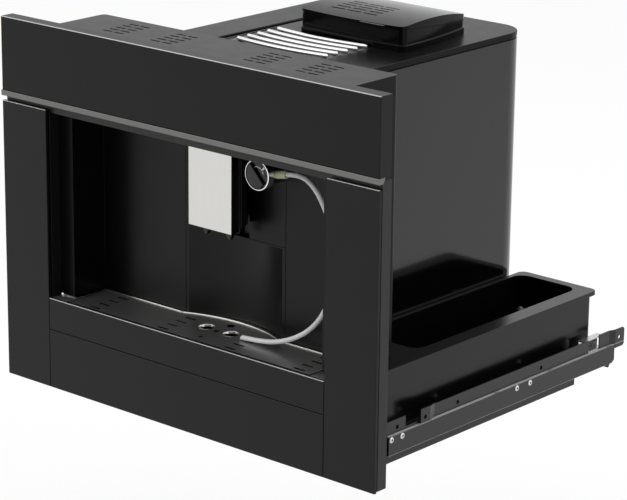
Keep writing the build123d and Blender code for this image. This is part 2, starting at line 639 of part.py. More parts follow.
def drip_tray():
    """Shallow trough behind the tray front, with a long tail that carries the grounds container."""
    top = TRAY_TOP - GRID_T - 2.0
    floor = TRAY_FLOOR_Z + TRAY_WALL
    wings = block((-TRAY_WING_HALF, TRAY_WING_HALF), (GLASS_T, TRAY_WING_BACK), (TRAY_FLOOR_Z, top))
    wide = block((-TRAY_HALF, TRAY_HALF), (GLASS_T, GRID_BACK - 1), (TRAY_FLOOR_Z, top))
    tail = block(TAIL_X, (GLASS_T, GROUNDS_BACK), (TRAY_FLOOR_Z, top))
    body = wings + fillet((wide + tail).edges().filter_by(Axis.Z).sort_by(Axis.Y)[-2:], 5.0)
    inner_wings = block((-TRAY_WING_HALF + TRAY_WALL, TRAY_WING_HALF - TRAY_WALL),
                        (GLASS_T + TRAY_WALL, TRAY_WING_BACK - TRAY_WALL), (top - 9, top + 1))
    inner_wide = block((-TRAY_HALF + TRAY_WALL, TRAY_HALF - TRAY_WALL),
                       (GLASS_T + TRAY_WALL, GRID_BACK - 1 - TRAY_WALL), (floor, top + 1))
    inner_tail = block((TAIL_X[0] + TRAY_WALL, TAIL_X[1] - TRAY_WALL), (TAIL_Y, GROUNDS_BACK - TRAY_WALL),
                       (floor, top + 1))
    middle = block((COLUMN_LEFT + 6, COLUMN_RIGHT - 6), (GRID_BACK - 10, TAIL_Y - TRAY_WALL),
                   (floor, top + 1))
    return body - inner_wings - inner_wide - inner_tail - middle


node("drip_tray", drip_tray())

G_X = (TAIL_X[0] + TRAY_WALL + FIT, TAIL_X[1] - TRAY_WALL - FIT)
G_Y = (TAIL_Y + FIT, GROUNDS_BACK - TRAY_WALL - FIT)
G_Z = (TRAY_FLOOR_Z + TRAY_WALL, TRAY_TOP - 1.0)


def grounds_container():
    """Open box for the spent coffee cakes, rounded at its corners."""
    t = 1.8
    outside = rounded(G_X, G_Y, 6.0, G_Z[0], G_Z[1])
    inside = rounded((G_X[0] + t, G_X[1] - t), (G_Y[0] + t, G_Y[1] - t), 5.0, G_Z[0] + t, G_Z[1] + 1)
    return outside - inside


node("grounds_container", grounds_container())


# ---------------------------------------------------------------- machine body
def body_plan(inset, low, high):
    """The body's plan, rounded at its two rear corners."""
    shape = block((-BODY_HALF + inset, BODY_HALF - inset), (BODY_FRONT + inset, BODY_BACK - inset), (low, high))
    corners = shape.edges().filter_by(Axis.Z).sort_by(Axis.Y)[-2:]
    return fillet(corners, BODY_CORNER_R - inset)


DOOR_Y = (170.0, 330.0)
DOOR_Z = (78.0, 338.0)
DOOR_T = 2.4
DOOR_GRIP = (46.0, 14.0)
DOOR_GRIP_Y = DOOR_Y[0] + 14.0
DOOR_GAP = 0.6
DOOR_HINGE_GAP = 1.6       # the door's rear edge swings past the shell's edge
HINGE_X = -BODY_HALF + 7.0
HINGE_Y = DOOR_Y[1] - 7.0
PIN_R = 2.0
LUG_R = 3.8
LUG_H = 8.0
LUG_ARM = (8.0, 12.0)      # the lug's arm, measured in X from the hinge's axis
LUG_FOOT = 15.0            # the lug's foot on the shell, measured in Y from the hinge's axis
LUG_FOOT_T = 4.0
LUG_Z = (DOOR_Z[0] + 6, DOOR_Z[1] - 6 - LUG_H)
INLET_X = -90.0
INLET_Z = 62.0
INLET_W = 28.0
INLET_H = 21.0
INLET_DEPTH = 24.0
INLET_FLANGE = (24.0, 13.0)    # half width and half height of the inlet's flange
INLET_FLANGE_T = 2.0
INLET_SOCKET = (12.0, 8.0)     # half width and half height of the inlet's socket
INLET_SOCKET_DEPTH = 17.0
INLET_PINS = ((-7.0, -2.5), (7.0, -2.5), (0.0, 3.0))
INLET_PIN_HALF = (1.0, 2.0)
INLET_PIN_END = 4.0        # the pins end this far inside the socket's mouth
BACK_VENT = (60.0, 4.0)
BACK_VENT_X = 60.0
BACK_VENT_Z = 300.0
BACK_VENT_ROWS = 6
BACK_VENT_PITCH = 10.0


def hinge_lug(low):
    """Hook on the shell's inner face that holds one pin of the service door, clear of its swing."""
    z = (low, low + LUG_H)
    arm = (HINGE_X + LUG_ARM[0], HINGE_X + LUG_ARM[1])
    foot = (HINGE_Y + LUG_FOOT, HINGE_Y + LUG_FOOT + LUG_FOOT_T)
    lug = rod(LUG_R, *z, "z", (HINGE_X, HINGE_Y))
    lug += block((HINGE_X, arm[1]), (HINGE_Y - LUG_R, HINGE_Y + LUG_R), z)
    lug += block(arm, (HINGE_Y - LUG_R, foot[1]), z)
    lug += block((-BODY_HALF + BODY_SHEET - 0.5, arm[1]), foot, z)
    return lug - rod(PIN_R + SHAFT_GAP, low - 1, low + LUG_H + 1, "z", (HINGE_X, HINGE_Y))


def body_shell():
    """Glossy wrap round the sides and the back, open in front, above and below."""
    shell = body_plan(0, BODY_BOTTOM, BODY_TOP) - body_plan(BODY_SHEET, BODY_BOTTOM - 1, BODY_TOP + 1)
    shell -= block((-BODY_HALF + BODY_SHEET, BODY_HALF - BODY_SHEET), (BODY_FRONT - 1, BODY_FRONT + 5),
                   (BODY_BOTTOM - 1, BODY_TOP + 1))
    shell -= block((-BODY_HALF - 1, -BODY_HALF + 5), (DOOR_Y[0] - DOOR_GAP, DOOR_Y[1] + DOOR_HINGE_GAP),
                   (DOOR_Z[0] - DOOR_GAP, DOOR_Z[1] + DOOR_GAP))
    half_w, half_h = INLET_W / 2 + 0.2, INLET_H / 2 + 0.2
    shell -= block((INLET_X - half_w, INLET_X + half_w), (BODY_BACK - 5, BODY_BACK + 1),
                   (INLET_Z - half_h, INLET_Z + half_h))
    slot = Rot(90, 0, 0) * extrude(SlotOverall(*BACK_VENT), 20, both=True)
    rows = [BACK_VENT_Z + BACK_VENT_PITCH * i for i in range(BACK_VENT_ROWS)]
    shell -= [Pos(BACK_VENT_X, BODY_BACK, z) * slot for z in rows]
    return shell + hinge_lug(LUG_Z[0]) + hinge_lug(LUG_Z[1])


node("body_shell", body_shell())


def round_grinder(size, grow, radius, low, high):
    """A rounded box about the grinder's axis, its size grown by the same amount on every side."""
    half_w, half_d = size[0] / 2 + grow, size[1] / 2 + grow
    return rounded((GRINDER_X - half_w, GRINDER_X + half_w), (GRINDER_Y - half_d, GRINDER_Y + half_d),
                   radius, low, high)


def body_lid():
    """Top cover with a turned-down rim, the cup warmer's window and slot and the funnel's opening."""
    cover = body_plan(0, LID_Z, LID_TOP)
    cover += body_plan(LID_RIM_IN, BODY_TOP - 8, LID_Z)
    cover -= body_plan(LID_RIM_IN + 1.6, BODY_TOP - 9, LID_Z + 2.4)
    cover = fillet(cover.faces().sort_by(Axis.Z)[-1].outer_wire().edges(), 1.2)
    cover -= rounded(WARMER_X, WARMER_Y, 3.0, BODY_TOP - 9, LID_TOP + 1)
    cover -= round_grinder(FUNNEL_SIZE, FUNNEL_GAP, FUNNEL_R + FUNNEL_GAP, BODY_TOP - 9, LID_TOP + 1)
    slot_x = WARMER_X[0] - 2.5
    slot_y = WARMER_Y[0] + 5
    return cover - block((slot_x - WARMER_SLOT[0], slot_x), (slot_y, slot_y + WARMER_SLOT[1]),
                         (LID_Z, LID_TOP + 1))


node("body_lid", body_lid())

WARMER_PLATE = LID_TOP - WARMER_SINK
BAR_SEAT_TOP = LID_TOP - 1.0


def warmer_tray():
    """Steel plate of the cup warmer, sunk in the lid's window, with a seat at each end of the bars."""
    t = WARMER_T
    x = (WARMER_X[0] + FIT, WARMER_X[1] - FIT)
    y = (WARMER_Y[0] + FIT, WARMER_Y[1] - FIT)
    tray = rounded(x, y, 2.7, WARMER_PLATE - t, LID_TOP - 0.6)
    tray -= rounded((x[0] + t, x[1] - t), (y[0] + t, y[1] - t), 2.0, WARMER_PLATE, LID_TOP)
    seat_y = (BAR_FIRST_Y - BAR_D, BAR_FIRST_Y + (BAR_COUNT - 1) * BAR_PITCH + BAR_D / 2)
    ends = (BAR_MIDDLE_X - BAR_HALF, BAR_MIDDLE_X + BAR_HALF)
    for low, high in ((x[0] + t / 2, ends[0] + BAR_SEAT), (ends[1] - BAR_SEAT, x[1] - t / 2)):
        tray += block((low, high), seat_y, (WARMER_PLATE - t / 2, BAR_SEAT_TOP))
    return tray


node("cup_warmer_tray", warmer_tray())


def warmer_bar(index):
    """One chrome bar, bowed a little towards the front."""
    y = BAR_FIRST_Y + index * BAR_PITCH
    z = BAR_SEAT_TOP + BAR_D / 2
    left, right = BAR_MIDDLE_X - BAR_HALF, BAR_MIDDLE_X + BAR_HALF
    arc = ThreePointArc((left, y, z), (BAR_MIDDLE_X, y - BAR_SAG, z), (right, y, z))
    return sweep(Plane(origin=arc @ 0, z_dir=arc % 0) * Circle(BAR_D / 2), path=arc)


node("cup_warmer_bars", Compound([warmer_bar(i) for i in range(BAR_COUNT)]))


# ---------------------------------------------------------------- bean hopper
def hopper_plan(inset, low, high):
    """The plan of the hopper's upper part: bowed in front, on the right and behind, straight on the left."""
    left, right, back_right = HOPPER_LEFT + inset, HOPPER_RIGHT - inset, HOPPER_RIGHT_BACK - inset
    front, back = HOPPER_FRONT + inset, HOPPER_BACK - inset
    front_middle = ((left + right) / 2, front - HOPPER_FRONT_BOW)
    side_middle = ((right + back_right) / 2 + HOPPER_SIDE_BOW, (front + back) / 2)
    back_middle = ((left + back_right) / 2, back + HOPPER_BACK_BOW)
    outline = ThreePointArc((left, front), front_middle, (right, front))
    outline += ThreePointArc((right, front), side_middle, (back_right, back))
    outline += ThreePointArc((back_right, back), back_middle, (left, back))
    outline += Line((left, back), (left, front))
    shape = Pos(0, 0, low) * extrude(make_face(outline), high - low)
    shape = fillet(shape.edges().filter_by(Axis.Z).sort_by(Axis.Y)[-2:], HOPPER_BACK_R - inset)
    return fillet(shape.edges().filter_by(Axis.Z).sort_by(Axis.Y)[:2], HOPPER_FRONT_R - inset)


HOPPER_SPAN = (HOPPER_LEFT - 20, HOPPER_RIGHT + 20)
HOPPER_ENDS = (HOPPER_FRONT - 20, HOPPER_BACK + 20)


def under_rim(lift):
    """Everything below the hopper's rim, which falls from front to back, or below a level over it."""
    fall = 20 * (HOPPER_RIM[0] - HOPPER_RIM[1]) / (HOPPER_BACK - HOPPER_FRONT)
    a, b = HOPPER_ENDS
    front = HOPPER_RIM[0] + fall + lift
    back = HOPPER_RIM[1] - fall + lift
    return section_yz(Polyline((a, THROAT_Z), (b, THROAT_Z), (b, back), (a, front), close=True), *HOPPER_SPAN)


def under_arch(drop):
    """Everything below the hopper lid's arched top, or below a level under it."""
    a, b = HOPPER_FRONT - HOPPER_FRONT_BOW - 1, HOPPER_BACK + HOPPER_BACK_BOW + 1
    front, top, back = (level - drop for level in HOPPER_LID_ARCH)
    arc = ThreePointArc((a, front), (a + 0.45 * (b - a), top), (b, back))
    return section_yz(arc + Polyline((b, back), (b, THROAT_Z), (a, THROAT_Z), (a, front)), *HOPPER_SPAN)


def tapered(low, high):
    """A funnel about the grinder's axis between two levels, each given as width, depth, radius and level."""
    ends = [Plane(origin=(GRINDER_X, GRINDER_Y, z)) * RectangleRounded(w, d, r) for w, d, r, z in (low, high)]
    return loft(ends)


def hopper():
    """Bean container: collar and walls on the body's lid and a funnel down to the grinder."""
    t = HOPPER_WALL
    w, d = FUNNEL_SIZE
    throat = 2 * THROAT_HALF
    neck_low = THROAT_Z - 6
    funnel_top = LID_Z - 4
    collar = hopper_plan(-COLLAR_OUT, LID_TOP, LID_TOP + COLLAR_H)
    collar = chamfer(collar.faces().sort_by(Axis.Z)[-1].edges(), COLLAR_OUT - 0.3)
    walls = hopper_plan(0, LID_TOP, HOPPER_RIM[0] + 10) & under_rim(0)
    bowl = hopper_plan(t, LID_TOP + HOPPER_FLOOR, HOPPER_RIM[0] + 11)
    upper = round_grinder(FUNNEL_SIZE, 0, FUNNEL_R, funnel_top, LID_TOP + 1)
    funnel = tapered((throat, throat, THROAT_R, THROAT_Z), (w, d, FUNNEL_R, funnel_top))
    neck = round_grinder((throat, throat), 0, THROAT_R, neck_low, THROAT_Z)
    inside = round_grinder(FUNNEL_SIZE, -t, FUNNEL_R - t, funnel_top, LID_TOP + HOPPER_FLOOR + 1)
    inside += tapered((throat - 2 * t, throat - 2 * t, THROAT_R - t, THROAT_Z),
                      (w - 2 * t, d - 2 * t, FUNNEL_R - t, funnel_top))
    inside += round_grinder((throat, throat), -t, THROAT_R - t, neck_low - 1, THROAT_Z)
    return joined([collar, walls, upper, funnel, neck]) - bowl - inside


node("bean_hopper", hopper())


def mouth_ring(inset, thickness, low, high):
    """A ring inside the hopper's mouth, measured in from the hopper's outer face."""
    return hopper_plan(inset, low, high) - hopper_plan(inset + thickness, low - 1, high + 1)


def hopper_lid():
    """Loose lid with an arched top, a slotted vent field, an inner ring and a finger lip in front."""
    top = HOPPER_LID_ARCH[1] + 5
    lid = hopper_plan(-HOPPER_LID_OVER, LID_TOP, top) & under_arch(0)
    lid -= hopper_plan(HOPPER_LID_SKIN, LID_TOP, top + 1) & under_arch(HOPPER_LID_SKIN)
    lid -= under_rim(FIT)
    ring = mouth_ring(SEAL_INSET + SEAL_T + SEAL_GAP, LID_RING_T, LID_RING_Z, top)
    lid += ring & under_arch(HOPPER_LID_SKIN / 2)
    lip = block(LID_LIP_X, (HOPPER_FRONT - HOPPER_FRONT_BOW - LID_LIP_OUT, HOPPER_FRONT), LID_LIP_Z)
    lid += fillet(lip.edges().filter_by(Axis.Z).sort_by(Axis.Y)[:2], 3.0)
    slot = extrude(SlotOverall(*GRILLE_SLOT), 60)
    return lid - [Pos(x, y, HOPPER_RIM[1]) * slot for x in GRILLE_X for y in GRILLE_Y]


node("hopper_lid", hopper_lid())
node("hopper_lid_seal", mouth_ring(SEAL_INSET, SEAL_T, *SEAL_Z))

# ---------------------------------------------------------------- grinder
GRINDER_AXIS = (GRINDER_X, GRINDER_Y)
GRINDER_R = 40.0
GRINDER_BORE_R = 31.0
GRINDER_FLOOR = 5.0
GRINDER_SHAFT_R = 4.0
GRIND_Z = (318.0, THROAT_Z - 6)
CHUTE_HALF = 9.0           # the chute in front of the housing that drops the ground coffee
CHUTE_Y = (GRINDER_Y - 62, GRINDER_Y - 34)
CHUTE_H = 26.0
CHUTE_WALL = 3.0
CHUTE_MOUTH = 12.0
grind_bore = rod(GRINDER_BORE_R, GRIND_Z[0] + GRINDER_FLOOR, GRIND_Z[1] + 1, "z", GRINDER_AXIS)
chute = block((GRINDER_X - CHUTE_HALF, GRINDER_X + CHUTE_HALF), CHUTE_Y, (GRIND_Z[0], GRIND_Z[0] + CHUTE_H))
chute_x = (GRINDER_X - CHUTE_HALF + CHUTE_WALL, GRINDER_X + CHUTE_HALF - CHUTE_WALL)
chute_top = GRIND_Z[0] + CHUTE_H - CHUTE_WALL - 1
mouth_y = CHUTE_Y[0] + CHUTE_WALL
grinder_housing = rod(GRINDER_R, *GRIND_Z, "z", GRINDER_AXIS) + chute - grind_bore
shaft_z = (GRIND_Z[0] - 1, GRIND_Z[0] + GRINDER_FLOOR + 1)
grinder_housing -= rod(GRINDER_SHAFT_R + SHAFT_GAP, *shaft_z, "z", GRINDER_AXIS)
grinder_housing -= block(chute_x, (mouth_y, CHUTE_Y[1] + 5), (GRIND_Z[0] + GRINDER_FLOOR, chute_top))
grinder_housing -= block(chute_x, (mouth_y, mouth_y + CHUTE_MOUTH), (GRIND_Z[0] - 1, chute_top))
node("grinder_housing", grinder_housing)

BURR_H = 18.0
BURR_MOUTH = (26.0, 20.0)  # radius of the ring's cone at its lower and upper end
burr_ring = rod(GRINDER_BORE_R - FIT, GRIND_Z[1] - BURR_H, GRIND_Z[1], "z", GRINDER_AXIS)
burr_ring -= Pos(*GRINDER_AXIS, GRIND_Z[1] - BURR_H / 2) * Cone(*BURR_MOUTH, BURR_H + 0.2)
node("burr_ring", burr_ring)

CONE_Z = (GRIND_Z[1] - 30, GRIND_Z[1] - 2)
CONE_R = (24.6, 9.0)
CONE_HUB_R = 14.0
FLUTES = 10
FLUTE_SIZE = (5.0, 2.2, 40.0)
FLUTE_LEAN = 29.0          # a flute follows the cone's slope
FLUTE_TWIST = 18.0
cone_middle = (CONE_Z[0] + CONE_Z[1]) / 2
burr_cone = Pos(*GRINDER_AXIS, cone_middle) * Cone(*CONE_R, CONE_Z[1] - CONE_Z[0])
flute = Pos(19, 0, cone_middle) * Rot(0, -FLUTE_LEAN, FLUTE_TWIST) * Box(*FLUTE_SIZE)
for i in range(FLUTES):
    burr_cone -= Pos(*GRINDER_AXIS, 0) * Rot(0, 0, 360 / FLUTES * i) * flute
burr_cone += rod(CONE_HUB_R, CONE_Z[0] - 4, CONE_Z[0], "z", GRINDER_AXIS)
burr_cone += rod(GRINDER_SHAFT_R, GRIND_Z[0] - 9, CONE_Z[0] + 3, "z", GRINDER_AXIS)
node("burr_cone", burr_cone)

MOTOR_Z = (228.0, GRIND_Z[0])
MOTOR_R = 32.0
MOTOR_FINS = 6
MOTOR_FIN = (3.0, 2.0)     # length and half width of a cooling fin
grinder_motor = rod(MOTOR_R, *MOTOR_Z, "z", GRINDER_AXIS)
grinder_motor -= rod(GRINDER_SHAFT_R + 1, MOTOR_Z[1] - 12, MOTOR_Z[1] + 1, "z", GRINDER_AXIS)
fin = block((MOTOR_R - 1, MOTOR_R - 1 + MOTOR_FIN[0]), (-MOTOR_FIN[1], MOTOR_FIN[1]),
            (MOTOR_Z[0] + 8, MOTOR_Z[1] - 8))
for i in range(MOTOR_FINS):
    grinder_motor += Pos(*GRINDER_AXIS, 0) * Rot(0, 0, 360 / MOTOR_FINS * i) * fin
node("grinder_motor", grinder_motor)

# ---------------------------------------------------------------- inner frame, brewing unit, heater and pump
SHELF_Z = (136.0, 138.0)
PLATE_T = 2.0
PLATE_Y = (242.0, 400.0)   # the two upright plates that stand on the base
SHELF_BACK = PLATE_Y[1] + 22
POST_TOP = BODY_TOP - 12.0
FRONT_POST_W = 14.0
REAR_POST_W = 12.0
REAR_POST_X = 140.0        # outer side of the rear posts
SEAT_T = 3.0               # shelf that the grinder's motor stands on
SEAT_HALF = 30.0
BREW_X = 5.0
BREW_Y = 150.0
SHOOT_HALF = 22.0          # opening in the shelf under the brewing unit
SHOOT_Y = (BREW_Y - 24, BREW_Y + 14)
RUNNER_W = 12.0            # runners under the drip tray's tail
RUNNER_H = 14.0
inner_half = BODY_HALF - BODY_SHEET - FIT
shelf_top = SHELF_Z[1]


def chassis_frame():
    """Folded inner frame: shelf, two upright plates, posts, the motor's seat and the tray's runners."""
    frame = block((-inner_half, inner_half), (BODY_FRONT, SHELF_BACK), SHELF_Z)
    for y in PLATE_Y:
        frame += block((-inner_half, inner_half), (y, y + PLATE_T), (BASE_Z + SHEET, SHELF_Z[1]))
    for x in (-inner_half, inner_half - FRONT_POST_W):
        frame += block((x, x + FRONT_POST_W), (BODY_FRONT, BODY_FRONT + PLATE_T), (SHELF_Z[0], POST_TOP))
    wall_y = (PLATE_Y[0] - 2 * PLATE_T, PLATE_Y[0] - PLATE_T)
    for x in (-REAR_POST_X, REAR_POST_X - REAR_POST_W):
        frame += block((x, x + REAR_POST_W), (PLATE_Y[0] - PLATE_T, PLATE_Y[0]), (SHELF_Z[0], POST_TOP))
    frame += block((-REAR_POST_X, REAR_POST_X), wall_y, (MOTOR_Z[0] - SEAT_T, GRIND_Z[0] - 6))
    frame += block((GRINDER_X - SEAT_HALF, GRINDER_X + SEAT_HALF), (wall_y[0], GRINDER_Y + 20),
                   (MOTOR_Z[0] - SEAT_T, MOTOR_Z[0]))
    runner_top = TRAY_FLOOR_Z - FIT
    runner_y = (FRAME_DEPTH + FIT, PLATE_Y[0] + 1)
    for x in (TAIL_X[0] + 1, TAIL_X[1] - 1 - RUNNER_W):
        frame += block((x, x + RUNNER_W), runner_y, (runner_top - SHEET, runner_top))
    for x in (TAIL_X[0] + 1, TAIL_X[1] - 1 - SHEET):
        frame += block((x, x + SHEET), runner_y, (runner_top - RUNNER_H, runner_top))
    frame -= block((BREW_X - SHOOT_HALF, BREW_X + SHOOT_HALF), SHOOT_Y, (SHELF_Z[0] - 1, SHELF_Z[1] + 1))
    frame -= block((-inner_half - 1, HINGE_X + LUG_ARM[1] + 2), (HINGE_Y - 8, HINGE_Y + 12),
                   (SHELF_Z[0] - 1, SHELF_Z[1] + 1))
    frame -= block((-inner_half - 1, -BODY_HALF + DOOR_T + FIT), (DOOR_Y[0] - 1, DOOR_Y[1] + DOOR_HINGE_GAP),
                   (DOOR_Z[0] - 1, DOOR_Z[1] + 1))
    return frame


node("chassis_frame", chassis_frame())

BREW_R = 22.0
BREW_H = 110.0
BREW_ROOF = 8.0            # thickness of the brewing unit's roof
BREW_Z = (shelf_top, shelf_top + BREW_H)
SPINDLE_AXIS = (BREW_X + 38, BREW_Y)
SPINDLE_R = 4.0
bore_z = (BREW_Z[0] - 1, BREW_Z[1] - BREW_ROOF)
brew_frame = block((BREW_X - 34, BREW_X + 52), (BREW_Y - 30, BREW_Y + 34), BREW_Z)
brew_frame -= rod(BREW_R + SHAFT_GAP, *bore_z, "z", (BREW_X, BREW_Y))
brew_frame -= block((BREW_X - 28, BREW_X + 28), (BREW_Y - 31, BREW_Y - 10), (BREW_Z[0] - 1, BREW_Z[0] + 40))
brew_frame -= block((BREW_X + 30, BREW_X + 46), (BREW_Y - 12, BREW_Y + 12), bore_z)
brew_frame -= rod(SPINDLE_R + SHAFT_GAP, bore_z[1] - 1, BREW_Z[1] + 1, "z", SPINDLE_AXIS)
brew_frame -= block((BREW_X + 18, BREW_X + 31), (BREW_Y - 4, BREW_Y + 4), bore_z)
node("brew_frame", brew_frame)

PISTON_Z = BREW_Z[0] + 20
PISTON_H = 18.0
ARM_HALF = 3.6             # the piston's arm to its nut on the spindle
NUT_R = 6.8
NUT_BORE_R = 4.6
piston = rod(BREW_R, PISTON_Z, PISTON_Z + PISTON_H, "z", (BREW_X, BREW_Y))
piston += block((BREW_X + 10, SPINDLE_AXIS[0] + NUT_R - 1), (BREW_Y - ARM_HALF, BREW_Y + ARM_HALF),
                (PISTON_Z + 4, PISTON_Z + 12))
piston += rod(NUT_R, PISTON_Z + 3, PISTON_Z + 13, "z", SPINDLE_AXIS)
piston -= rod(NUT_BORE_R, PISTON_Z - 1, PISTON_Z + PISTON_H + 1, "z", SPINDLE_AXIS)
node("brew_piston", piston)

PULLEY_R = 9.0
SPINDLE_TOP = BREW_Z[1] + 12
spindle = rod(SPINDLE_R, BREW_Z[0] + 4, SPINDLE_TOP, "z", SPINDLE_AXIS)
spindle += rod(PULLEY_R, BREW_Z[1] + FIT, BREW_Z[1] + 8, "z", SPINDLE_AXIS)
node("brew_spindle", spindle)

BREW_MOTOR_R = 14.0
bridge_y = (BREW_Y + 10, BREW_Y + 32)
bridge_top = BREW_Z[1] + 40
brew_motor = rod(BREW_MOTOR_R, SPINDLE_TOP + FIT, BREW_Z[1] + 50, "z", SPINDLE_AXIS)
brew_motor += block((BREW_X + 22, BREW_X + 26), (BREW_Y + 14, bridge_y[1]), (BREW_Z[1], bridge_top))
brew_motor += block((BREW_X + 22, BREW_X + 54), bridge_y, (BREW_Z[1] + 16, bridge_top))
node("brew_motor", brew_motor)

BOILER_X = (-132.0, -58.0)
BOILER_Y = (128.0, 178.0)
BOILER_H = 74.0
BOILER_PIPES = ((-110.0, 153.0), (-80.0, 153.0))
BOILER_PROBE = (-95.0, 140.0)
boiler_top = shelf_top + BOILER_H
boiler = rounded(BOILER_X, BOILER_Y, 8.0, shelf_top, boiler_top)
boiler = fillet(boiler.faces().sort_by(Axis.Z)[-1].edges(), 4.0)
for pipe in BOILER_PIPES:
    boiler += rod(5, boiler_top - 4, boiler_top + 18, "z", pipe)
node("boiler", boiler + rod(12, boiler_top - 4, boiler_top + 4, "z", BOILER_PROBE))

PUMP_X = -100.0
PUMP_Y = (268.0, 372.0)
PUMP_Z = shelf_top + 34
PUMP_BODY_HALF = 26.0
PUMP_BODY_Y = (292.0, 338.0)
PUMP_FOOT_W = 6.0
pump = rod(12, *PUMP_Y, "y", (PUMP_X, PUMP_Z)) + rod(17, 346, 360, "y", (PUMP_X, PUMP_Z))
pump += block((PUMP_X - PUMP_BODY_HALF, PUMP_X + PUMP_BODY_HALF), PUMP_BODY_Y, (PUMP_Z - 30, PUMP_Z + 28))
for x in (PUMP_X - PUMP_BODY_HALF + 4, PUMP_X + PUMP_BODY_HALF - 4 - PUMP_FOOT_W):
    pump += block((x, x + PUMP_FOOT_W), (PUMP_BODY_Y[0] + 4, PUMP_BODY_Y[1] - 4), (shelf_top, PUMP_Z - 28))
node("water_pump", pump)

POWER_X = 118.0
# middle in Y, height over the shelf, width, height and thickness of the power board's larger components
POWER_COMPONENTS = ((290, 60, 32, 36, 22), (330, 40, 24, 24, 26), (366, 70, 26, 44, 12), (300, 100, 40, 12, 9))
power_board = block((POWER_X, POWER_X + BOARD_T), (262, 392), (shelf_top, shelf_top + 120))
for y, z, w, h, t in POWER_COMPONENTS:
    power_board += block((POWER_X - t, POWER_X), (y - w / 2, y + w / 2),
                         (shelf_top + z - h / 2, shelf_top + z + h / 2))
node("power_board", power_board)


def power_inlet():
    """Appliance inlet: a flanged box with a socket and three flat pins."""
    def inlet_block(half_w, half_h, y, x=0.0, z=0.0):
        return block((INLET_X + x - half_w, INLET_X + x + half_w), y,
                     (INLET_Z + z - half_h, INLET_Z + z + half_h))

    inlet = inlet_block(INLET_W / 2, INLET_H / 2, (BODY_BACK - INLET_DEPTH, BODY_BACK))
    inlet += inlet_block(*INLET_FLANGE, (BODY_BACK, BODY_BACK + INLET_FLANGE_T))
    inlet -= inlet_block(*INLET_SOCKET, (BODY_BACK - INLET_SOCKET_DEPTH, BODY_BACK + INLET_FLANGE_T + 1))
    pin_y = (BODY_BACK - INLET_SOCKET_DEPTH - 1, BODY_BACK - INLET_PIN_END)
    for x, z in INLET_PINS:
        inlet += inlet_block(*INLET_PIN_HALF, pin_y, x, z)
    return inlet


node("power_inlet", power_inlet())


# ---------------------------------------------------------------- service door on the left side
def service_door():
    """Door over the brewing unit, with a pinned knuckle on its rear edge and a finger hollow in front."""
    door = block((-BODY_HALF, -BODY_HALF + DOOR_T), DOOR_Y, DOOR_Z)
    door = fillet(door.faces().sort_by(Axis.X)[0].edges(), 1.4)
    low, high = LUG_Z[0] + LUG_H + FIT, LUG_Z[1] - FIT
    knuckle = block((-BODY_HALF + DOOR_T - 1, HINGE_X), (HINGE_Y - LUG_R + 1, HINGE_Y + LUG_R - 1), (low, high))
    knuckle += rod(LUG_R, low, high, "z", (HINGE_X, HINGE_Y))
    knuckle += rod(PIN_R, LUG_Z[0], low + 1, "z", (HINGE_X, HINGE_Y))
    knuckle += rod(PIN_R, high - 1, LUG_Z[1] + LUG_H, "z", (HINGE_X, HINGE_Y))
    hollow = Rot(0, -90, 0) * extrude(SlotOverall(*DOOR_GRIP), DOOR_T / 2, both=True)
    return door + knuckle - Pos(-BODY_HALF, DOOR_GRIP_Y, (DOOR_Z[0] + DOOR_Z[1]) / 2) * hollow


node("service_door", service_door())


# ---------------------------------------------------------------- water tank
def tank_plan(low, high, inner=0.0, front=0.0, outer=0.0, back=0.0):
    """The tank's plan, stepped back round the niche, grown on its inner, front, outer and rear sides."""
    x0, x1 = TANK_X[0] - inner, TANK_X[1] + outer
    y0, y1 = TANK_Y[0] - front, TANK_Y[1] + back
    sx, sy = TANK_STEP[0] - inner, TANK_STEP[1] - front
    return plan([(sx, y0), (x1, y0), (x1, y1), (x0, y1), (x0, sy), (sx, sy)], low, high)


def water_tank():
    """Open water tank with an overhanging rim, a decked front end and a filling well."""
    t = TANK_WALL
    body = tank_plan(TANK_Z, TANK_RIM_Z)
    body = fillet(body.edges().filter_by(Axis.Z).sort_by(Axis.Y)[-2:], 8.0)
    rim = tank_plan(TANK_RIM_Z, TANK_RIM_TOP, TANK_RIM_OUT[0], 1.0, TANK_RIM_OUT[1], 1.0)
    rim = fillet(rim.edges().filter_by(Axis.Z).sort_by(Axis.Y)[-2:], 10.0)
    rim = fillet(rim.faces().sort_by(Axis.Z)[-1].edges(), 0.8)
    hollow = tank_plan(TANK_Z + t, TANK_RIM_Z - 0.5, -t, -t, -t, -t)
    hollow = fillet(hollow.edges().filter_by(Axis.Z).sort_by(Axis.Y)[-2:], 6.0)
    well = rounded(WELL_X, WELL_Y, WELL_R, TANK_RIM_Z - 2, TANK_RIM_TOP + 1)
    ledge = block((WELL_X[1] - GRIP_LEDGE_W, TANK_X[1] - 1), (WELL_Y[0], GRIP_LEDGE_BACK),
                  (TANK_RIM_Z - 5, TANK_RIM_Z - 2))
    return body + rim - hollow - well + ledge


node("water_tank", water_tank())

STRAINER = (200.0, 395.0)
STRAINER_R = 5.5
STRAINER_FOOT = (9.0, 12.0)
STRAINER_TOP = 98.0
strainer_low = TANK_Z + TANK_WALL
strainer = rod(STRAINER_FOOT[0], strainer_low, strainer_low + STRAINER_FOOT[1], "z", STRAINER)
strainer += rod(STRAINER_R, strainer_low + STRAINER_FOOT[1] - 1, STRAINER_TOP, "z", STRAINER)
strainer += Pos(*STRAINER, STRAINER_TOP) * Sphere(STRAINER_R)
node("tank_strainer", strainer)


# ---------------------------------------------------------------- base and rails
FLOOR_SLOT = (30.0, 5.0)
FLOOR_SLOT_X = (-90, -45, 0, 45, 90)
FLOOR_SLOT_Y = (290, 305, 320, 335, 350)


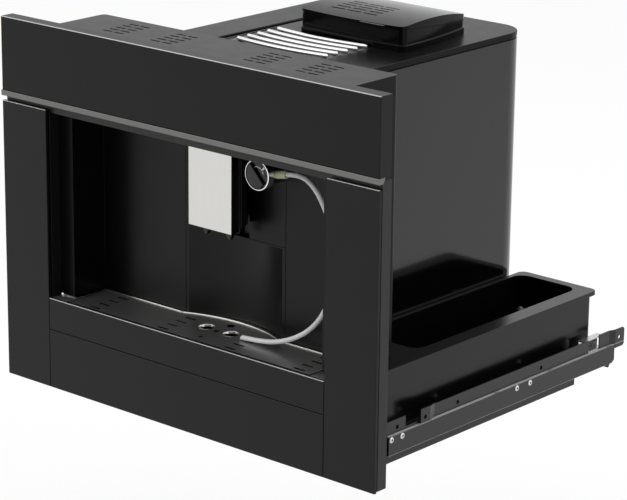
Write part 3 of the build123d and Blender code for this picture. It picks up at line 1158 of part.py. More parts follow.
def base_pan():
    """Folded steel base: vented floor, side flanges for the rails and a front tongue bolted to the frame."""
    floor = block((-BASE_HALF, BASE_HALF), BASE_Y, (BASE_Z, BASE_Z + SHEET))
    side_y = (BASE_Y[0], BASE_SKIRT_BACK)
    side_z = (BASE_SKIRT_Z, BASE_Z + BASE_WALL_H)
    sides = [block((s * (BASE_HALF - SHEET), s * BASE_HALF), side_y, side_z) for s in (-1, 1)]
    front = LAND + SHEET + FIT
    tongue_x = (-BASE_TONGUE_HALF, BASE_TONGUE_HALF)
    tongue = block(tongue_x, (front, BASE_Y[0] + 1), (BASE_Z, BASE_Z + SHEET))
    lip = block(tongue_x, (front, front + SHEET), (BASE_Z, BASE_TONGUE_TOP))
    slot = extrude(SlotOverall(*FLOOR_SLOT), 10)
    cuts = [Pos(x, y, BASE_Z - 5) * slot for x in FLOOR_SLOT_X for y in FLOOR_SLOT_Y]
    return joined([floor, tongue, lip] + sides) - cuts


node("base_pan", base_pan())

# Each side, from the machine outwards: inner rail, middle rail, outer rail, cabinet bracket.
RAIL_MID = (BRACKET_Z[0] + BRACKET_Z[1]) / 2
OUTER_HALF = (BRACKET_Z[1] - BRACKET_Z[0]) / 2 - SHEET - 0.1
MIDDLE_HALF = OUTER_HALF - RAIL_T - RAIL_GAP
INNER_HALF = MIDDLE_HALF - RAIL_T - RAIL_GAP
BRACKET_IN = BRACKET_X - SHEET     # inner face of the bracket's web
RAIL_Y = (RAIL_Y0, RAIL_Y0 + RAIL_L)
INNER_RAIL_W = 7.0
MIDDLE_WEB = BASE_HALF + 9.6
MIDDLE_RAIL_X = (BASE_HALF + 3.0, BASE_HALF + 14.0)    # ends of the middle rail's flanges
OUTER_RAIL_W = 4.3
RAIL_END_Y = (426.0, 466.0)
RAIL_END_W = 9.5


def channel(x_web, x_open, z_half, y, t):
    """A C-section along Y, with its web at x_web and its flanges reaching to x_open."""
    sign = 1 if x_open > x_web else -1
    web = block((x_web, x_web + sign * t), y, (RAIL_MID - z_half, RAIL_MID + z_half))
    top = block((x_web, x_open), y, (RAIL_MID + z_half - t, RAIL_MID + z_half))
    low = block((x_web, x_open), y, (RAIL_MID - z_half, RAIL_MID - z_half + t))
    return joined([web, top, low])


def rail_end():
    """Folded guide at the outer rail's end, seen through the gap in the bracket's upper flange."""
    x = (BRACKET_X - BRACKET_SET - RAIL_END_W, BRACKET_X - BRACKET_SET)
    z = (BRACKET_Z[1] + 0.1, FLANGE_TOP)
    inside = block((x[0] + RAIL_T, x[1] + 1), (RAIL_END_Y[0] - 1, RAIL_END_Y[1] + 1),
                   (z[0] + RAIL_T, z[1] - RAIL_T))
    return block(x, RAIL_END_Y, z) - inside


inner_rail = channel(BASE_HALF, BASE_HALF + INNER_RAIL_W, INNER_HALF, RAIL_Y, RAIL_T)
middle_rail = channel(MIDDLE_WEB, MIDDLE_RAIL_X[0], MIDDLE_HALF, RAIL_Y, RAIL_T)
middle_rail += channel(MIDDLE_WEB, MIDDLE_RAIL_X[1], MIDDLE_HALF, RAIL_Y, RAIL_T)
outer_rail = channel(BRACKET_IN, BRACKET_IN - OUTER_RAIL_W, OUTER_HALF, RAIL_Y, RAIL_T)
for y in SCREW_Y:
    outer_rail -= rod(SCREW_SHANK_R, BRACKET_IN - RAIL_T - 0.1, BRACKET_X, "x", (y, SCREW_Z))
node("inner_rails", Compound([inner_rail, mirror_x(inner_rail)]))
node("middle_rails", Compound([middle_rail, mirror_x(middle_rail)]))
node("outer_rails", Compound([outer_rail, mirror_x(outer_rail), rail_end(), mirror_x(rail_end())]))

BRACKET_HOLE_Z = 57.5
LOW_LEDGE_W = 8.0
FLANGE_BACK = 434.0
FLANGE_WINDOW = (79.0, 132.0)      # gap in the flange round the front tab
WINDOW_Z = 54.0
TAB_Y = (103.0, 120.0)
TAB_HOLE_Y = 111.0
REAR_TAB_Y = (457.0, 478.0)
EAR_Y = (487.0, 506.0)
EAR_HOLE_Y = 496.0
EAR_Z = 45.0
TAB_TOP = FLANGE_TOP + 2.0
BRACKET_NOSE = (5.0, 3.0)          # the web's lower rear corner is cut off by this much


def screw_cone(y, gap):
    """The countersunk head of a rail screw, with its face level with the bracket's, or its countersink."""
    over = 0.5 if gap else 0.0
    length = SHEET + over
    grow = over * (SCREW_R - SCREW_NECK_R) / SHEET
    cone = Cone(SCREW_NECK_R + gap, SCREW_R + gap + grow, length)
    return Pos(BRACKET_IN + length / 2, y, SCREW_Z) * Rot(0, 90, 0) * cone


def rail_bracket():
    """Right cabinet bracket: a channel round the rail, an upper flange with holes, two tabs and an ear."""
    x0, x1 = BRACKET_IN, BRACKET_X
    fx = (x1 - BRACKET_SET, x1 - BRACKET_SET + SHEET)
    ledge_z = BRACKET_Z[1] - SHEET
    web = block((x0, x1), BRACKET_Y, BRACKET_Z)
    ledge = block((fx[0], x1), BRACKET_Y, (ledge_z, BRACKET_Z[1]))
    low_ledge = block((x1 - LOW_LEDGE_W, x1), BRACKET_Y, (BRACKET_Z[0], BRACKET_Z[0] + SHEET))
    flange = block(fx, (BRACKET_Y[0], FLANGE_BACK), (ledge_z, FLANGE_TOP))
    flange -= block((fx[0] - 1, fx[1] + 1), FLANGE_WINDOW, (WINDOW_Z, FLANGE_TOP + 1))
    tab = block((x0, x1), TAB_Y, (ledge_z, TAB_TOP - 0.5))
    bend = plan([(x0, TAB_Y[1]), (x1, TAB_Y[1]), (fx[1], FLANGE_WINDOW[1]), (fx[0], FLANGE_WINDOW[1])],
                WINDOW_Z - 2, TAB_TOP - 1)
    rear = block(fx, REAR_TAB_Y, (ledge_z, TAB_TOP))
    rear_bend = plan([(fx[0], REAR_TAB_Y[1]), (fx[1], REAR_TAB_Y[1]), (x1, EAR_Y[0]), (x0, EAR_Y[0])],
                     BRACKET_Z[1] + 0.5, TAB_TOP)
    ear = block((x0, x1), EAR_Y, (EAR_Z, TAB_TOP))
    ear = fillet(ear.edges().filter_by(Axis.X).sort_by(Axis.Y)[-2:], 4.0)
    body = joined([web, ledge, low_ledge, flange, tab, bend, rear, rear_bend, ear])
    for y in BRACKET_HOLE_Y + (TAB_HOLE_Y, EAR_HOLE_Y):
        body -= rod(BRACKET_HOLE_R, x1 - LOW_LEDGE_W, x1 + 1, "x", (y, BRACKET_HOLE_Z))
    for y in SCREW_Y:
        body -= screw_cone(y, SCREW_GAP)
    back, low = BRACKET_Y[1], BRACKET_Z[0]
    nose = Polyline((back - BRACKET_NOSE[0], low), (back + 1, low - 1), (back + 1, low + BRACKET_NOSE[1]),
                    (back, low + BRACKET_NOSE[1]), close=True)
    return body - section_yz(nose, x1 - LOW_LEDGE_W - 1, x1 + 1)


node("rail_bracket_right", rail_bracket())
node("rail_bracket_left", mirror_x(rail_bracket()))


def rail_screw(y):
    """Countersunk screw that holds the outer rail to its bracket."""
    return screw_cone(y, 0.0) + rod(SCREW_SHANK_R, BRACKET_IN - RAIL_T, BRACKET_IN + 1, "x", (y, SCREW_Z))


screws = [rail_screw(y) for y in SCREW_Y]
node("rail_screws", Compound(screws + [mirror_x(s) for s in screws]))

BUMPER_X = (BRACKET_X - 7, BRACKET_X - 1)
BUMPER_Y = (471.0, 474.0, 476.0, 479.0)    # upper front, lower front, lower rear and upper rear corner
BUMPER_Z = 22.5
bumper_outline = Polyline((BUMPER_Y[0], BRACKET_Z[0]), (BUMPER_Y[1], BUMPER_Z), (BUMPER_Y[2], BUMPER_Z),
                          (BUMPER_Y[3], BRACKET_Z[0]), close=True)
bumper = section_yz(bumper_outline, *BUMPER_X)
node("rail_bumpers", Compound([bumper, mirror_x(bumper)]))

# ---------------------------------------------------------------- export
os.makedirs("parts", exist_ok=True)
for name, shape in PARTS.items():
    export_step(shape, f"parts/{name}.step")
print(len(PARTS), "nodes")
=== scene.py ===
"""Looks of a built-in coffee machine for a kitchen niche, around its fixed construction model.

Units are metres. +X is right seen from the front, the front faces -Y and +Z is up. The origin is
the middle of the front's bottom edge, in the plane of the front glass.
"""
from __future__ import annotations

import json
import logging
import math
from dataclasses import dataclass
from enum import Enum
from typing import Iterable, Sequence

import bmesh
import bpy
from bmesh.types import BMEdge, BMesh, BMFace, BMVert
from bpy.types import Material, Object
from mathutils import Matrix, Vector

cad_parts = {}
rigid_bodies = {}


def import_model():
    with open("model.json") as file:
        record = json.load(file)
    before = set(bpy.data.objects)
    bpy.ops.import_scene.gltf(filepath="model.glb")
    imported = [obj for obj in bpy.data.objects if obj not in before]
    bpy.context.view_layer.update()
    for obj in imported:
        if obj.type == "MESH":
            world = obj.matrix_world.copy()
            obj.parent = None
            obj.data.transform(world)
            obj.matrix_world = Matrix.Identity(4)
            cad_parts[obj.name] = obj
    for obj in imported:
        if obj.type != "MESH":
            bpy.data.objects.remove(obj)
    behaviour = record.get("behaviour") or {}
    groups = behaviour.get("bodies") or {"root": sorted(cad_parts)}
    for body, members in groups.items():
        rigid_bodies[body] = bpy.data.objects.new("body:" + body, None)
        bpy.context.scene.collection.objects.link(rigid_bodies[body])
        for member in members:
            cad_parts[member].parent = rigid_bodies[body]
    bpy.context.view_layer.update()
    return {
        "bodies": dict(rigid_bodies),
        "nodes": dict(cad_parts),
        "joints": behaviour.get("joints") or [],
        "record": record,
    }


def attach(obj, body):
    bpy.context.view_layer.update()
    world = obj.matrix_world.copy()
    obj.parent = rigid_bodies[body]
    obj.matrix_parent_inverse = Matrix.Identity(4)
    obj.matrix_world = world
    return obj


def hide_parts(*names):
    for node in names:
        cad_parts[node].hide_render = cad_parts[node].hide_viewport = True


LOG = logging.getLogger("coffee_machine")
IMAGE_WIDTH = 627
SENSOR_MM = 36.0
MERGE_DISTANCE = 1e-6
EDGE_SAMPLES = 6
CLOUD_OCTAVES = 4.0
GRAIN_OCTAVES = 2.0
BEVEL_SEGMENTS = 2
SMOOTH_BELOW = math.radians(35.0)  # faces that meet at less are shaded as one
FULL_TURN = (0.0, 360.0)

Colour = tuple[float, float, float]
Point = tuple[float, float, float]
Pair = tuple[float, float]
Names = tuple[str, ...]

WHITE: Colour = (1.0, 1.0, 1.0)
SOFT_BLACK: Colour = (0.0024, 0.0024, 0.0026)


# ---- shader maths
@dataclass(frozen=True)
class Wire:
    """An output socket in a node tree, with the operators that shader maths needs."""

    bench: Bench
    socket: bpy.types.NodeSocket

    def _math(self, operation: str, *values: Wire | float) -> Wire:
        """Adds one Math node.

        Args:
            operation: The node's operation.
            values: Its inputs, in order.

        Returns:
            The node's result.
        """
        return self.bench.node("ShaderNodeMath", dict(enumerate(values)), {"operation": operation})

    def __add__(self, other: Wire | float) -> Wire:
        """The sum."""
        return self._math("ADD", self, other)

    def __radd__(self, other: float) -> Wire:
        """The sum, with a number first."""
        return self._math("ADD", other, self)

    def __sub__(self, other: Wire | float) -> Wire:
        """The difference."""
        return self._math("SUBTRACT", self, other)

    def __rsub__(self, other: float) -> Wire:
        """The difference, with a number first."""
        return self._math("SUBTRACT", other, self)

    def __mul__(self, other: Wire | float) -> Wire:
        """The product."""
        return self._math("MULTIPLY", self, other)

    def __rmul__(self, other: float) -> Wire:
        """The product, with a number first."""
        return self._math("MULTIPLY", other, self)

    def __gt__(self, other: Wire | float) -> Wire:
        """1 where this is greater, and 0 elsewhere."""
        return self._math("GREATER_THAN", self, other)

    def __lt__(self, other: Wire | float) -> Wire:
        """1 where this is less, and 0 elsewhere."""
        return self._math("LESS_THAN", self, other)

    def __abs__(self) -> Wire:
        """The value without its sign."""
        return self._math("ABSOLUTE", self)

    def ramp(self, low: float, high: float) -> Wire:
        """A smooth step from 0 to 1.

        Args:
            low: Where the step starts.
            high: Where it ends.

        Returns:
            The stepped value.
        """
        return self.bench.node("ShaderNodeMapRange",
                               {"Value": self, "From Min": low, "From Max": high},
                               {"interpolation_type": "SMOOTHSTEP"})

    def swing(self, amount: float) -> Wire:
        """A noise's swing round its middle of 0.5, times an amount."""
        return (self - 0.5) * amount


class Bench:
    """The node tree of a material or of the world while it is being laid out."""

    def __init__(self, owner: Material | bpy.types.World) -> None:
        """Starts with an empty tree.

        Args:
            owner: What the nodes belong to.
        """
        self.owner = owner
        owner.use_nodes = True
        self.tree = owner.node_tree
        self.tree.nodes.clear()
        self._object_point: Wire | None = None

    def node(self, kind: str, inputs: dict | None = None, settings: dict | None = None,
             output: int | str = 0) -> Wire:
        """Adds any node.

        Args:
            kind: The node's type.
            inputs: Values or wires by socket name or number.
            settings: Its properties, which are set before its sockets.
            output: The socket that is returned.

        Returns:
            The chosen output.
        """
        made = self.tree.nodes.new(kind)
        for key, value in (settings or {}).items():
            setattr(made, key, value)
        for key, value in (inputs or {}).items():
            if isinstance(value, Wire):
                self.tree.links.new(value.socket, made.inputs[key])
            else:
                made.inputs[key].default_value = value
        return Wire(self, made.outputs[output])

    def point(self) -> Wire:
        """The place on the object, in metres in the shared frame."""
        if self._object_point is None:
            self._object_point = self.node("ShaderNodeTexCoord", output="Object")
        return self._object_point

    def axis(self, name: str) -> Wire:
        """One coordinate of the place on the object, X, Y or Z."""
        return self.node("ShaderNodeSeparateXYZ", {0: self.point()}, output=name)

    def facing(self, name: str) -> Wire:
        """One component of the surface normal in object space, X, Y or Z."""
        normal = self.node("ShaderNodeTexCoord", output="Normal")
        return self.node("ShaderNodeSeparateXYZ", {0: normal}, output=name)

    def noise(self, scale: Point | float, detail: float = 3.0, roughness: float = 0.5) -> Wire:
        """Fractal noise on the object's own coordinates.

        Args:
            scale: Features for each metre, the same all round or along X, Y and Z.
            detail: Octaves.
            roughness: Share of the finer octaves.

        Returns:
            The noise, about 0.5 on average.
        """
        spread = scale if isinstance(scale, tuple) else (scale, scale, scale)
        mapped = self.node("ShaderNodeMapping", {"Vector": self.point(), "Scale": spread})
        return self.node("ShaderNodeTexNoise", {"Vector": mapped, "Scale": 1.0,
                                                "Detail": detail, "Roughness": roughness})

    def mix(self, factor: Wire | float, first: Wire | Colour, second: Wire | Colour) -> Wire:
        """A colour between two others.

        Args:
            factor: 0 gives the first and 1 the second.
            first: A colour or a wire.
            second: A colour or a wire.

        Returns:
            The mixed colour.
        """
        sides = [side if isinstance(side, Wire) else (*side, 1.0) for side in (first, second)]
        return self.node("ShaderNodeMix", {0: factor, 6: sides[0], 7: sides[1]},
                         {"data_type": "RGBA"}, output=2)

    def rounded_edges(self, radius: float) -> Wire:
        """Normals that round off sharp edges by a small radius, in metres."""
        return self.node("ShaderNodeBevel", {"Radius": radius}, {"samples": EDGE_SAMPLES})

    def bump(self, height: Wire, depth: float, base: Wire | None = None) -> Wire:
        """A relief in the surface.

        Args:
            height: The relief from 0 to 1.
            depth: What 1 stands for, in metres.
            base: Normals that the relief is laid on.

        Returns:
            The new normals.
        """
        inputs = {"Height": height, "Distance": depth, "Strength": 1.0}
        if base is not None:
            inputs["Normal"] = base
        return self.node("ShaderNodeBump", inputs)

    def finish(self, **sockets: Wire | float | Colour) -> Material:
        """Adds the surface shader and the output.

        Args:
            sockets: Values or wires by socket name, with underscores for spaces.

        Returns:
            The finished material.
        """
        inputs = {key.replace("_", " "): value for key, value in sockets.items()}
        self.show(self.node("ShaderNodeBsdfPrincipled", inputs))
        return self.owner

    def show(self, shader: Wire, output: str = "ShaderNodeOutputMaterial") -> None:
        """Joins a shader to the tree's output.

        Args:
            shader: The shader.
            output: The output node's type.
        """
        made = self.tree.nodes.new(output)
        self.tree.links.new(shader.socket, made.inputs["Surface"])


# ---- finishes
@dataclass(frozen=True)
class Finish:
    """A surface finish of the machine."""

    name: str
    colour: Colour

    def bench(self) -> Bench:
        """An empty node tree in a new material with the finish's name."""
        return Bench(bpy.data.materials.new(self.name))

    def tint(self, gain: float, lift: float = 0.0) -> Colour:
        """The finish's colour made lighter or darker.

        Args:
            gain: What each channel is multiplied by.
            lift: What is added to it then.

        Returns:
            The new colour, at most white.
        """
        return tuple(min(1.0, channel * gain + lift) for channel in self.colour)

    def make(self) -> Material:
        """The finish as a material."""
        raise NotImplementedError


@dataclass(frozen=True)
class Moulding(Finish):
    """Moulded or coated surface with a fine grain and softly uneven gloss."""

    roughness: float = 0.4
    unevenness: float = 0.08
    grain: float = 1400.0
    grain_depth: float = 0.00002
    specular: float = 0.5
    edge: float = 0.0005
    dust: float = 0.15
    dust_lift: float = 0.0003
    cloud_scale: float = 7.0
    cloud_step: Pair = (0.35, 0.75)
    patch_scale: float = 45.0

    def make(self) -> Material:
        """The moulding as a material."""
        bench = self.bench()
        cloud = bench.noise(self.cloud_scale, CLOUD_OCTAVES).ramp(*self.cloud_step)
        patch = bench.noise(self.patch_scale)
        grain = bench.noise(self.grain, GRAIN_OCTAVES)
        pale = self.tint(1 + self.dust, self.dust_lift)
        return bench.finish(
            Base_Color=bench.mix(cloud, self.colour, pale),
            Roughness=(self.roughness + patch.swing(self.unevenness)
                       + grain.swing(self.unevenness / 2)),
            Specular_IOR_Level=self.specular,
            Normal=bench.bump(grain, self.grain_depth, bench.rounded_edges(self.edge)),
        )


@dataclass(frozen=True)
class Glass(Finish):
    """Black-backed glass with ground edges, a trace of wiping marks, and a painted highlight in
    pale grey along its up-facing top edges.
    """

    roughness: float = 0.16
    edge: float = 0.0006
    specular: float = 0.34
    wipe_scale: Point = (9.0, 9.0, 26.0)
    wipe_step: Pair = (0.3, 0.8)
    wipe_gain: float = 1.25
    wipe_swing: float = 0.05
    speck_scale: float = 900.0
    speck_swing: float = 0.02
    ground_roughness: float = 0.25
    matt_depth: Pair = (0.0007, 0.0012)  # behind the front face the edges are ground
    matt_side: Pair = (-0.5, -0.1)
    # Painted highlight: up-facing edges close behind the front face, above the given height, get a
    # pale grey base colour.
    highlight_facing: Pair = (0.4, 0.65)
    highlight_depth: float = 0.0016
    highlight_above: float = 0.10  # the lower panel's edge lies in the seam's shadow
    highlight_colour: Colour = (0.66, 0.66, 0.66)

    def make(self) -> Material:
        """The glass as a material."""
        bench = self.bench()
        wipe = bench.noise(self.wipe_scale, detail=5.0, roughness=0.6)
        speck = bench.noise(self.speck_scale, detail=1.0)
        depth = bench.axis("Y")
        ground = depth.ramp(*self.matt_depth) * bench.facing("Y").ramp(*self.matt_side)
        wiped = bench.mix(wipe.ramp(*self.wipe_step), self.colour, self.tint(self.wipe_gain))
        # Painted highlight: a pale grey base colour on the up-facing edges near the front face,
        # above the lower panel.
        edge_highlight = (bench.facing("Z").ramp(*self.highlight_facing) * (depth < self.highlight_depth)
                 * (bench.axis("Z") > self.highlight_above))
        return bench.finish(
            Base_Color=bench.mix(edge_highlight, wiped, self.highlight_colour),
            Roughness=(self.roughness + wipe.swing(self.wipe_swing)
                       + speck.swing(self.speck_swing) + ground * self.ground_roughness),
            Specular_IOR_Level=self.specular,
            Normal=bench.rounded_edges(self.edge),
        )


class Grain(Enum):
    """Direction of a metal's brushing."""

    ACROSS = "x"
    UPRIGHT = "z"
    ALONG = "y"
    NONE = ""


@dataclass(frozen=True)
class Metal(Finish):
    """Bare, brushed or plated metal."""

    roughness: float = 0.3
    grain: Grain = Grain.NONE
    streak: float = 0.12
    streak_depth: float = 0.000012
    streak_step: Pair = (0.3, 0.7)
    edge: float = 0.0004
    fine: float = 2600.0
    long: float = 26.0
    plain_scale: float = 320.0  # for metal that isn't brushed
    cloud_scale: float = 16.0
    cloud_swing: float = 0.06

    def _spread(self) -> Point:
        """The brushing's features for each metre along X, Y and Z."""
        return tuple(self.long if axis == self.grain.value else self.fine for axis in "xyz")

    def make(self) -> Material:
        """The metal as a material."""
        bench = self.bench()
        brushed = self.grain is not Grain.NONE
        lines = bench.noise(self._spread() if brushed else self.plain_scale)
        cloud = bench.noise(self.cloud_scale, CLOUD_OCTAVES)
        normal = bench.rounded_edges(self.edge)
        if brushed:
            normal = bench.bump(lines, self.streak_depth, normal)
        return bench.finish(
            Base_Color=bench.mix(lines.ramp(*self.streak_step), self.tint(1 - self.streak),
                                 self.colour),
            Metallic=1.0,
            Roughness=(self.roughness + lines.swing(self.streak)
                       + cloud.swing(self.cloud_swing)),
            Normal=normal,
        )


@dataclass(frozen=True)
class ChromeTrim(Finish):
    """Chrome: a thin bright line round the dial's edge, and satin bars on the cup warmer."""

    dial: Pair = (0.0865, 0.3215)  # X and Z of the dial's axis
    line_from: float = 0.0171  # the ring is black inside this radius
    bars_from: float = 0.42  # whatever is higher belongs to the cup warmer
    inner: Colour = (0.003, 0.003, 0.003)
    polish: float = 0.07
    bar_roughness: float = 0.22  # added on the bars
    inner_roughness: float = 0.25  # added inside the ring
    haze_scale: float = 300.0
    haze_swing: float = 0.03
    edge: float = 0.0004

    def make(self) -> Material:
        """The chrome as a material."""
        bench = self.bench()
        across = bench.axis("X") - self.dial[0]
        up = bench.axis("Z") - self.dial[1]
        bars = bench.axis("Z") > self.bars_from
        rim = (across * across + up * up) > self.line_from ** 2
        plated = 1 - (1 - rim) * (1 - bars)
        haze = bench.noise(self.haze_scale)
        return bench.finish(
            Base_Color=bench.mix(plated, self.inner, self.colour),
            Metallic=plated,
            Roughness=(self.polish + bars * self.bar_roughness + haze.swing(self.haze_swing)
                       + (1 - plated) * self.inner_roughness),
            Normal=bench.rounded_edges(self.edge),
        )


@dataclass(frozen=True)
class BracketSteel(Finish):
    """Black-coated bracket with painted highlights along its bends, broken up by noise."""

    # Painted highlight: the bright colour is laid in thin bands at the bend heights.
    bright: Colour = (0.42, 0.42, 0.43)
    bends: Pair = (0.0270, 0.0505)  # heights
    half_width: float = 0.00045
    highlight_break_scale: Point = (30.0, 30.0, 200.0)
    highlight_break_step: Pair = (0.25, 0.5)
    cloud_scale: float = 9.0
    cloud_step: Pair = (0.35, 0.75)
    cloud_gain: float = 1.2
    cloud_swing: float = 0.08
    grain: float = 1900.0
    grain_depth: float = 0.00001
    roughness: float = 0.30
    specular: float = 0.42
    edge: float = 0.0005

    def make(self) -> Material:
        """The bracket's steel as a material."""
        bench = self.bench()
        height = bench.axis("Z")
        cloud = bench.noise(self.cloud_scale, CLOUD_OCTAVES)
        grain = bench.noise(self.grain, GRAIN_OCTAVES)
        low, high = (abs(height - bend) < self.half_width for bend in self.bends)
        # Painted highlight: a light grey base colour in thin bands at the two bend heights, broken
        # up by noise.
        bend_highlight = (1 - (1 - low) * (1 - high)) * bench.noise(self.highlight_break_scale).ramp(*self.highlight_break_step)
        coat = bench.mix(cloud.ramp(*self.cloud_step), self.colour, self.tint(self.cloud_gain))
        return bench.finish(
            Base_Color=bench.mix(bend_highlight, coat, self.bright),
            Roughness=self.roughness + cloud.swing(self.cloud_swing),
            Specular_IOR_Level=self.specular,
            Normal=bench.bump(grain, self.grain_depth, bench.rounded_edges(self.edge)),
        )


@dataclass(frozen=True)
class Silicone(Finish):
    """Clouded rubber that lets some light through."""

    roughness: float = 0.3
    glow: float = 0.25
    clear: float = 0.0
    glow_radius: Point = (0.002, 0.002, 0.0018)
    refraction: float = 1.41
    milk_gain: float = 1.08
    cloud_scale: float = 60.0
    cloud_step: Pair = (0.3, 0.7)
    cloud_swing: float = 0.12
    grain: float = 1500.0
    grain_depth: float = 0.00001
    grain_swing: float = 0.06

    def make(self) -> Material:
        """The silicone as a material."""
        bench = self.bench()
        cloud = bench.noise(self.cloud_scale, CLOUD_OCTAVES)
        grain = bench.noise(self.grain, GRAIN_OCTAVES)
        return bench.finish(
            Base_Color=bench.mix(cloud.ramp(*self.cloud_step), self.colour,
                                 self.tint(self.milk_gain)),
            Roughness=(self.roughness + cloud.swing(self.cloud_swing)
                       + grain.swing(self.grain_swing)),
            Subsurface_Weight=self.glow,
            Subsurface_Radius=self.glow_radius,
            Subsurface_Scale=1.0,
            Transmission_Weight=self.clear,
            IOR=self.refraction,
            Normal=bench.bump(grain, self.grain_depth),
        )


@dataclass(frozen=True)
class GridSteel(Finish):
    """Satin steel plate whose hole walls and other faces that don't face up are near-black as
    painted shade, with a polished raised rim.
    """

    bright: Colour = (0.80, 0.785, 0.75)
    # painted shade for every face that doesn't face up, such as the walls of the slots and holes
    wall: Colour = (0.002, 0.002, 0.002)
    rim_above: float = 0.11525
    level_step: Pair = (0.4, 0.8)
    roughness: float = 0.34
    rim_roughness: float = 0.16
    metallic: float = 0.9
    brush_scale: Point = (24.0, 1800.0, 1800.0)
    brush_swing: float = 0.12
    cloud_scale: float = 14.0
    cloud_swing: float = 0.10
    edge: float = 0.0005

    def make(self) -> Material:
        """The grid's steel as a material."""
        bench = self.bench()
        level = bench.facing("Z").ramp(*self.level_step)
        rim = bench.axis("Z") > self.rim_above
        lines = bench.noise(self.brush_scale)
        cloud = bench.noise(self.cloud_scale, CLOUD_OCTAVES)
        plate = self.roughness + lines.swing(self.brush_swing) + cloud.swing(self.cloud_swing)
        # Painted shade: faces that don't face up get a near-black base colour.
        return bench.finish(
            Base_Color=bench.mix(level, self.wall, bench.mix(rim, self.colour, self.bright)),
            Metallic=self.metallic,
            Roughness=plate * (1 - rim) + self.rim_roughness * rim,
            Normal=bench.rounded_edges(self.edge),
        )


@dataclass(frozen=True)
class BoardLaminate(Finish):
    """Circuit board: green lacquer with copper tracks, and dark parts that stand on it."""

    track: Colour = (0.05, 0.28, 0.12)
    part: Colour = (0.03, 0.03, 0.03)
    parts_from: float = 0.0097  # whatever lies further back stands on the board
    track_scale: float = 90.0
    track_width: float = 0.03
    roughness: float = 0.35
    gloss_scale: float = 300.0
    gloss_gain: float = 0.15
    edge: float = 0.0003

    def make(self) -> Material:
        """The board as a material."""
        bench = self.bench()
        cells = bench.node("ShaderNodeTexBrick",
                           {"Vector": bench.point(), "Scale": self.track_scale,
                            "Mortar Size": self.track_width}, output="Fac")
        lacquer = bench.mix(cells, self.colour, self.track)
        return bench.finish(
            Base_Color=bench.mix(bench.axis("Y") > self.parts_from, lacquer, self.part),
            Roughness=self.roughness + bench.noise(self.gloss_scale) * self.gloss_gain,
            Normal=bench.rounded_edges(self.edge),
        )


class Palette:
    """Every finish of the machine by its name, made once."""

    def __init__(self) -> None:
        """Lists the finishes."""
        listed: tuple[Finish, ...] = (
            Metal("anodised_front", (0.18, 0.178, 0.172), 0.34, Grain.ACROSS),
            Glass("front_glass", (0.0038, 0.0038, 0.0042), specular=0.22),
            Glass("control_glass", (0.0036, 0.0036, 0.0040), roughness=0.14, specular=0.2),
            BoardLaminate("circuit_board", (0.02, 0.14, 0.06)),
            Moulding("black_frame_steel", SOFT_BLACK, 0.42, grain=2200.0, grain_depth=0.00004,
                     specular=0.4),
            Moulding("black_duct_steel", (0.0040, 0.0040, 0.0043), 0.32, grain=2600.0,
                     specular=0.12),
            Moulding("niche_plastic", (0.0012, 0.0012, 0.0012), 0.30, grain=1800.0,
                     grain_depth=0.00001, specular=0.2),
            Metal("spout_steel", (0.67, 0.665, 0.645), 0.26, Grain.UPRIGHT, streak=0.04,
                  streak_depth=0.000004, edge=0.0003),
            Moulding("gloss_black", (0.0018, 0.0018, 0.0020), 0.09, unevenness=0.03,
                     grain_depth=0.0, specular=0.45),
            Moulding("outlet_black", SOFT_BLACK, 0.22),
            ChromeTrim("chrome_trim", (0.88, 0.88, 0.88)),
            Silicone("connector_silicone", (0.56, 0.60, 0.40), 0.34, 0.3),
            Silicone("hose_silicone", (0.84, 0.85, 0.86), 0.24, 0.35, 0.1),
            GridSteel("grid_steel", (0.42, 0.42, 0.415)),
            Moulding("tray_plastic", (0.0030, 0.0030, 0.0032), 0.38, specular=0.4),
            Moulding("body_lid_black", (0.0046, 0.0046, 0.0050), 0.30, grain=2400.0,
                     specular=0.085),
            Moulding("warmer_steel", (0.085, 0.085, 0.087), 0.42, specular=0.3),
            Moulding("hopper_black", (0.0016, 0.0016, 0.0018), 0.16, grain_depth=0.0,
                     specular=0.10),
            Moulding("seal_silicone", (0.0012, 0.0012, 0.0012), 0.6, specular=0.02),
            Moulding("tank_plastic", (0.0022, 0.0022, 0.0024), 0.22, grain_depth=0.000006,
                     specular=0.26),
            Moulding("strainer_plastic", (0.02, 0.02, 0.02), 0.2),
            Moulding("grinder_plastic", (0.05, 0.05, 0.054), 0.45),
            Metal("burr_steel", (0.55, 0.55, 0.55), 0.28),
            Metal("motor_steel", (0.52, 0.52, 0.51), 0.33, Grain.UPRIGHT),
            Metal("zinc_steel", (0.66, 0.66, 0.64), 0.34),
            Metal("heater_aluminium", (0.66, 0.66, 0.66), 0.42),
            Moulding("brew_plastic", (0.25, 0.25, 0.26), 0.42),
            Metal("spindle_steel", (0.62, 0.62, 0.62), 0.2, Grain.UPRIGHT),
            Moulding("inlet_plastic", (0.012, 0.012, 0.012), 0.4),
            Metal("slide_steel", (0.62, 0.62, 0.61), 0.26, Grain.ALONG),
            BracketSteel("bracket_steel", (0.0060, 0.0060, 0.0062)),
            Moulding("bumper_rubber", (0.006, 0.006, 0.006), 0.6),
            # The last three have no slot of their own in the record.
            Moulding("mark_white", (0.86, 0.86, 0.85), 0.4),
            Moulding("dial_grey", (0.016, 0.015, 0.0155), 0.3, specular=0.3),
            Metal("rim_satin", (0.90, 0.885, 0.85), 0.20, Grain.ACROSS, streak=0.04),
        )
        self.finishes = {finish.name: finish for finish in listed}
        self._made: dict[str, Material] = {}

    def dress(self, piece: Object, name: str) -> None:
        """Gives a piece one material all over.

        Args:
            piece: The object.
            name: The finish's name, which is the material slot where the record has one.
        """
        if name not in self._made:
            self._made[name] = self.finishes[name].make()
        piece.data.materials.clear()
        piece.data.materials.append(self._made[name])


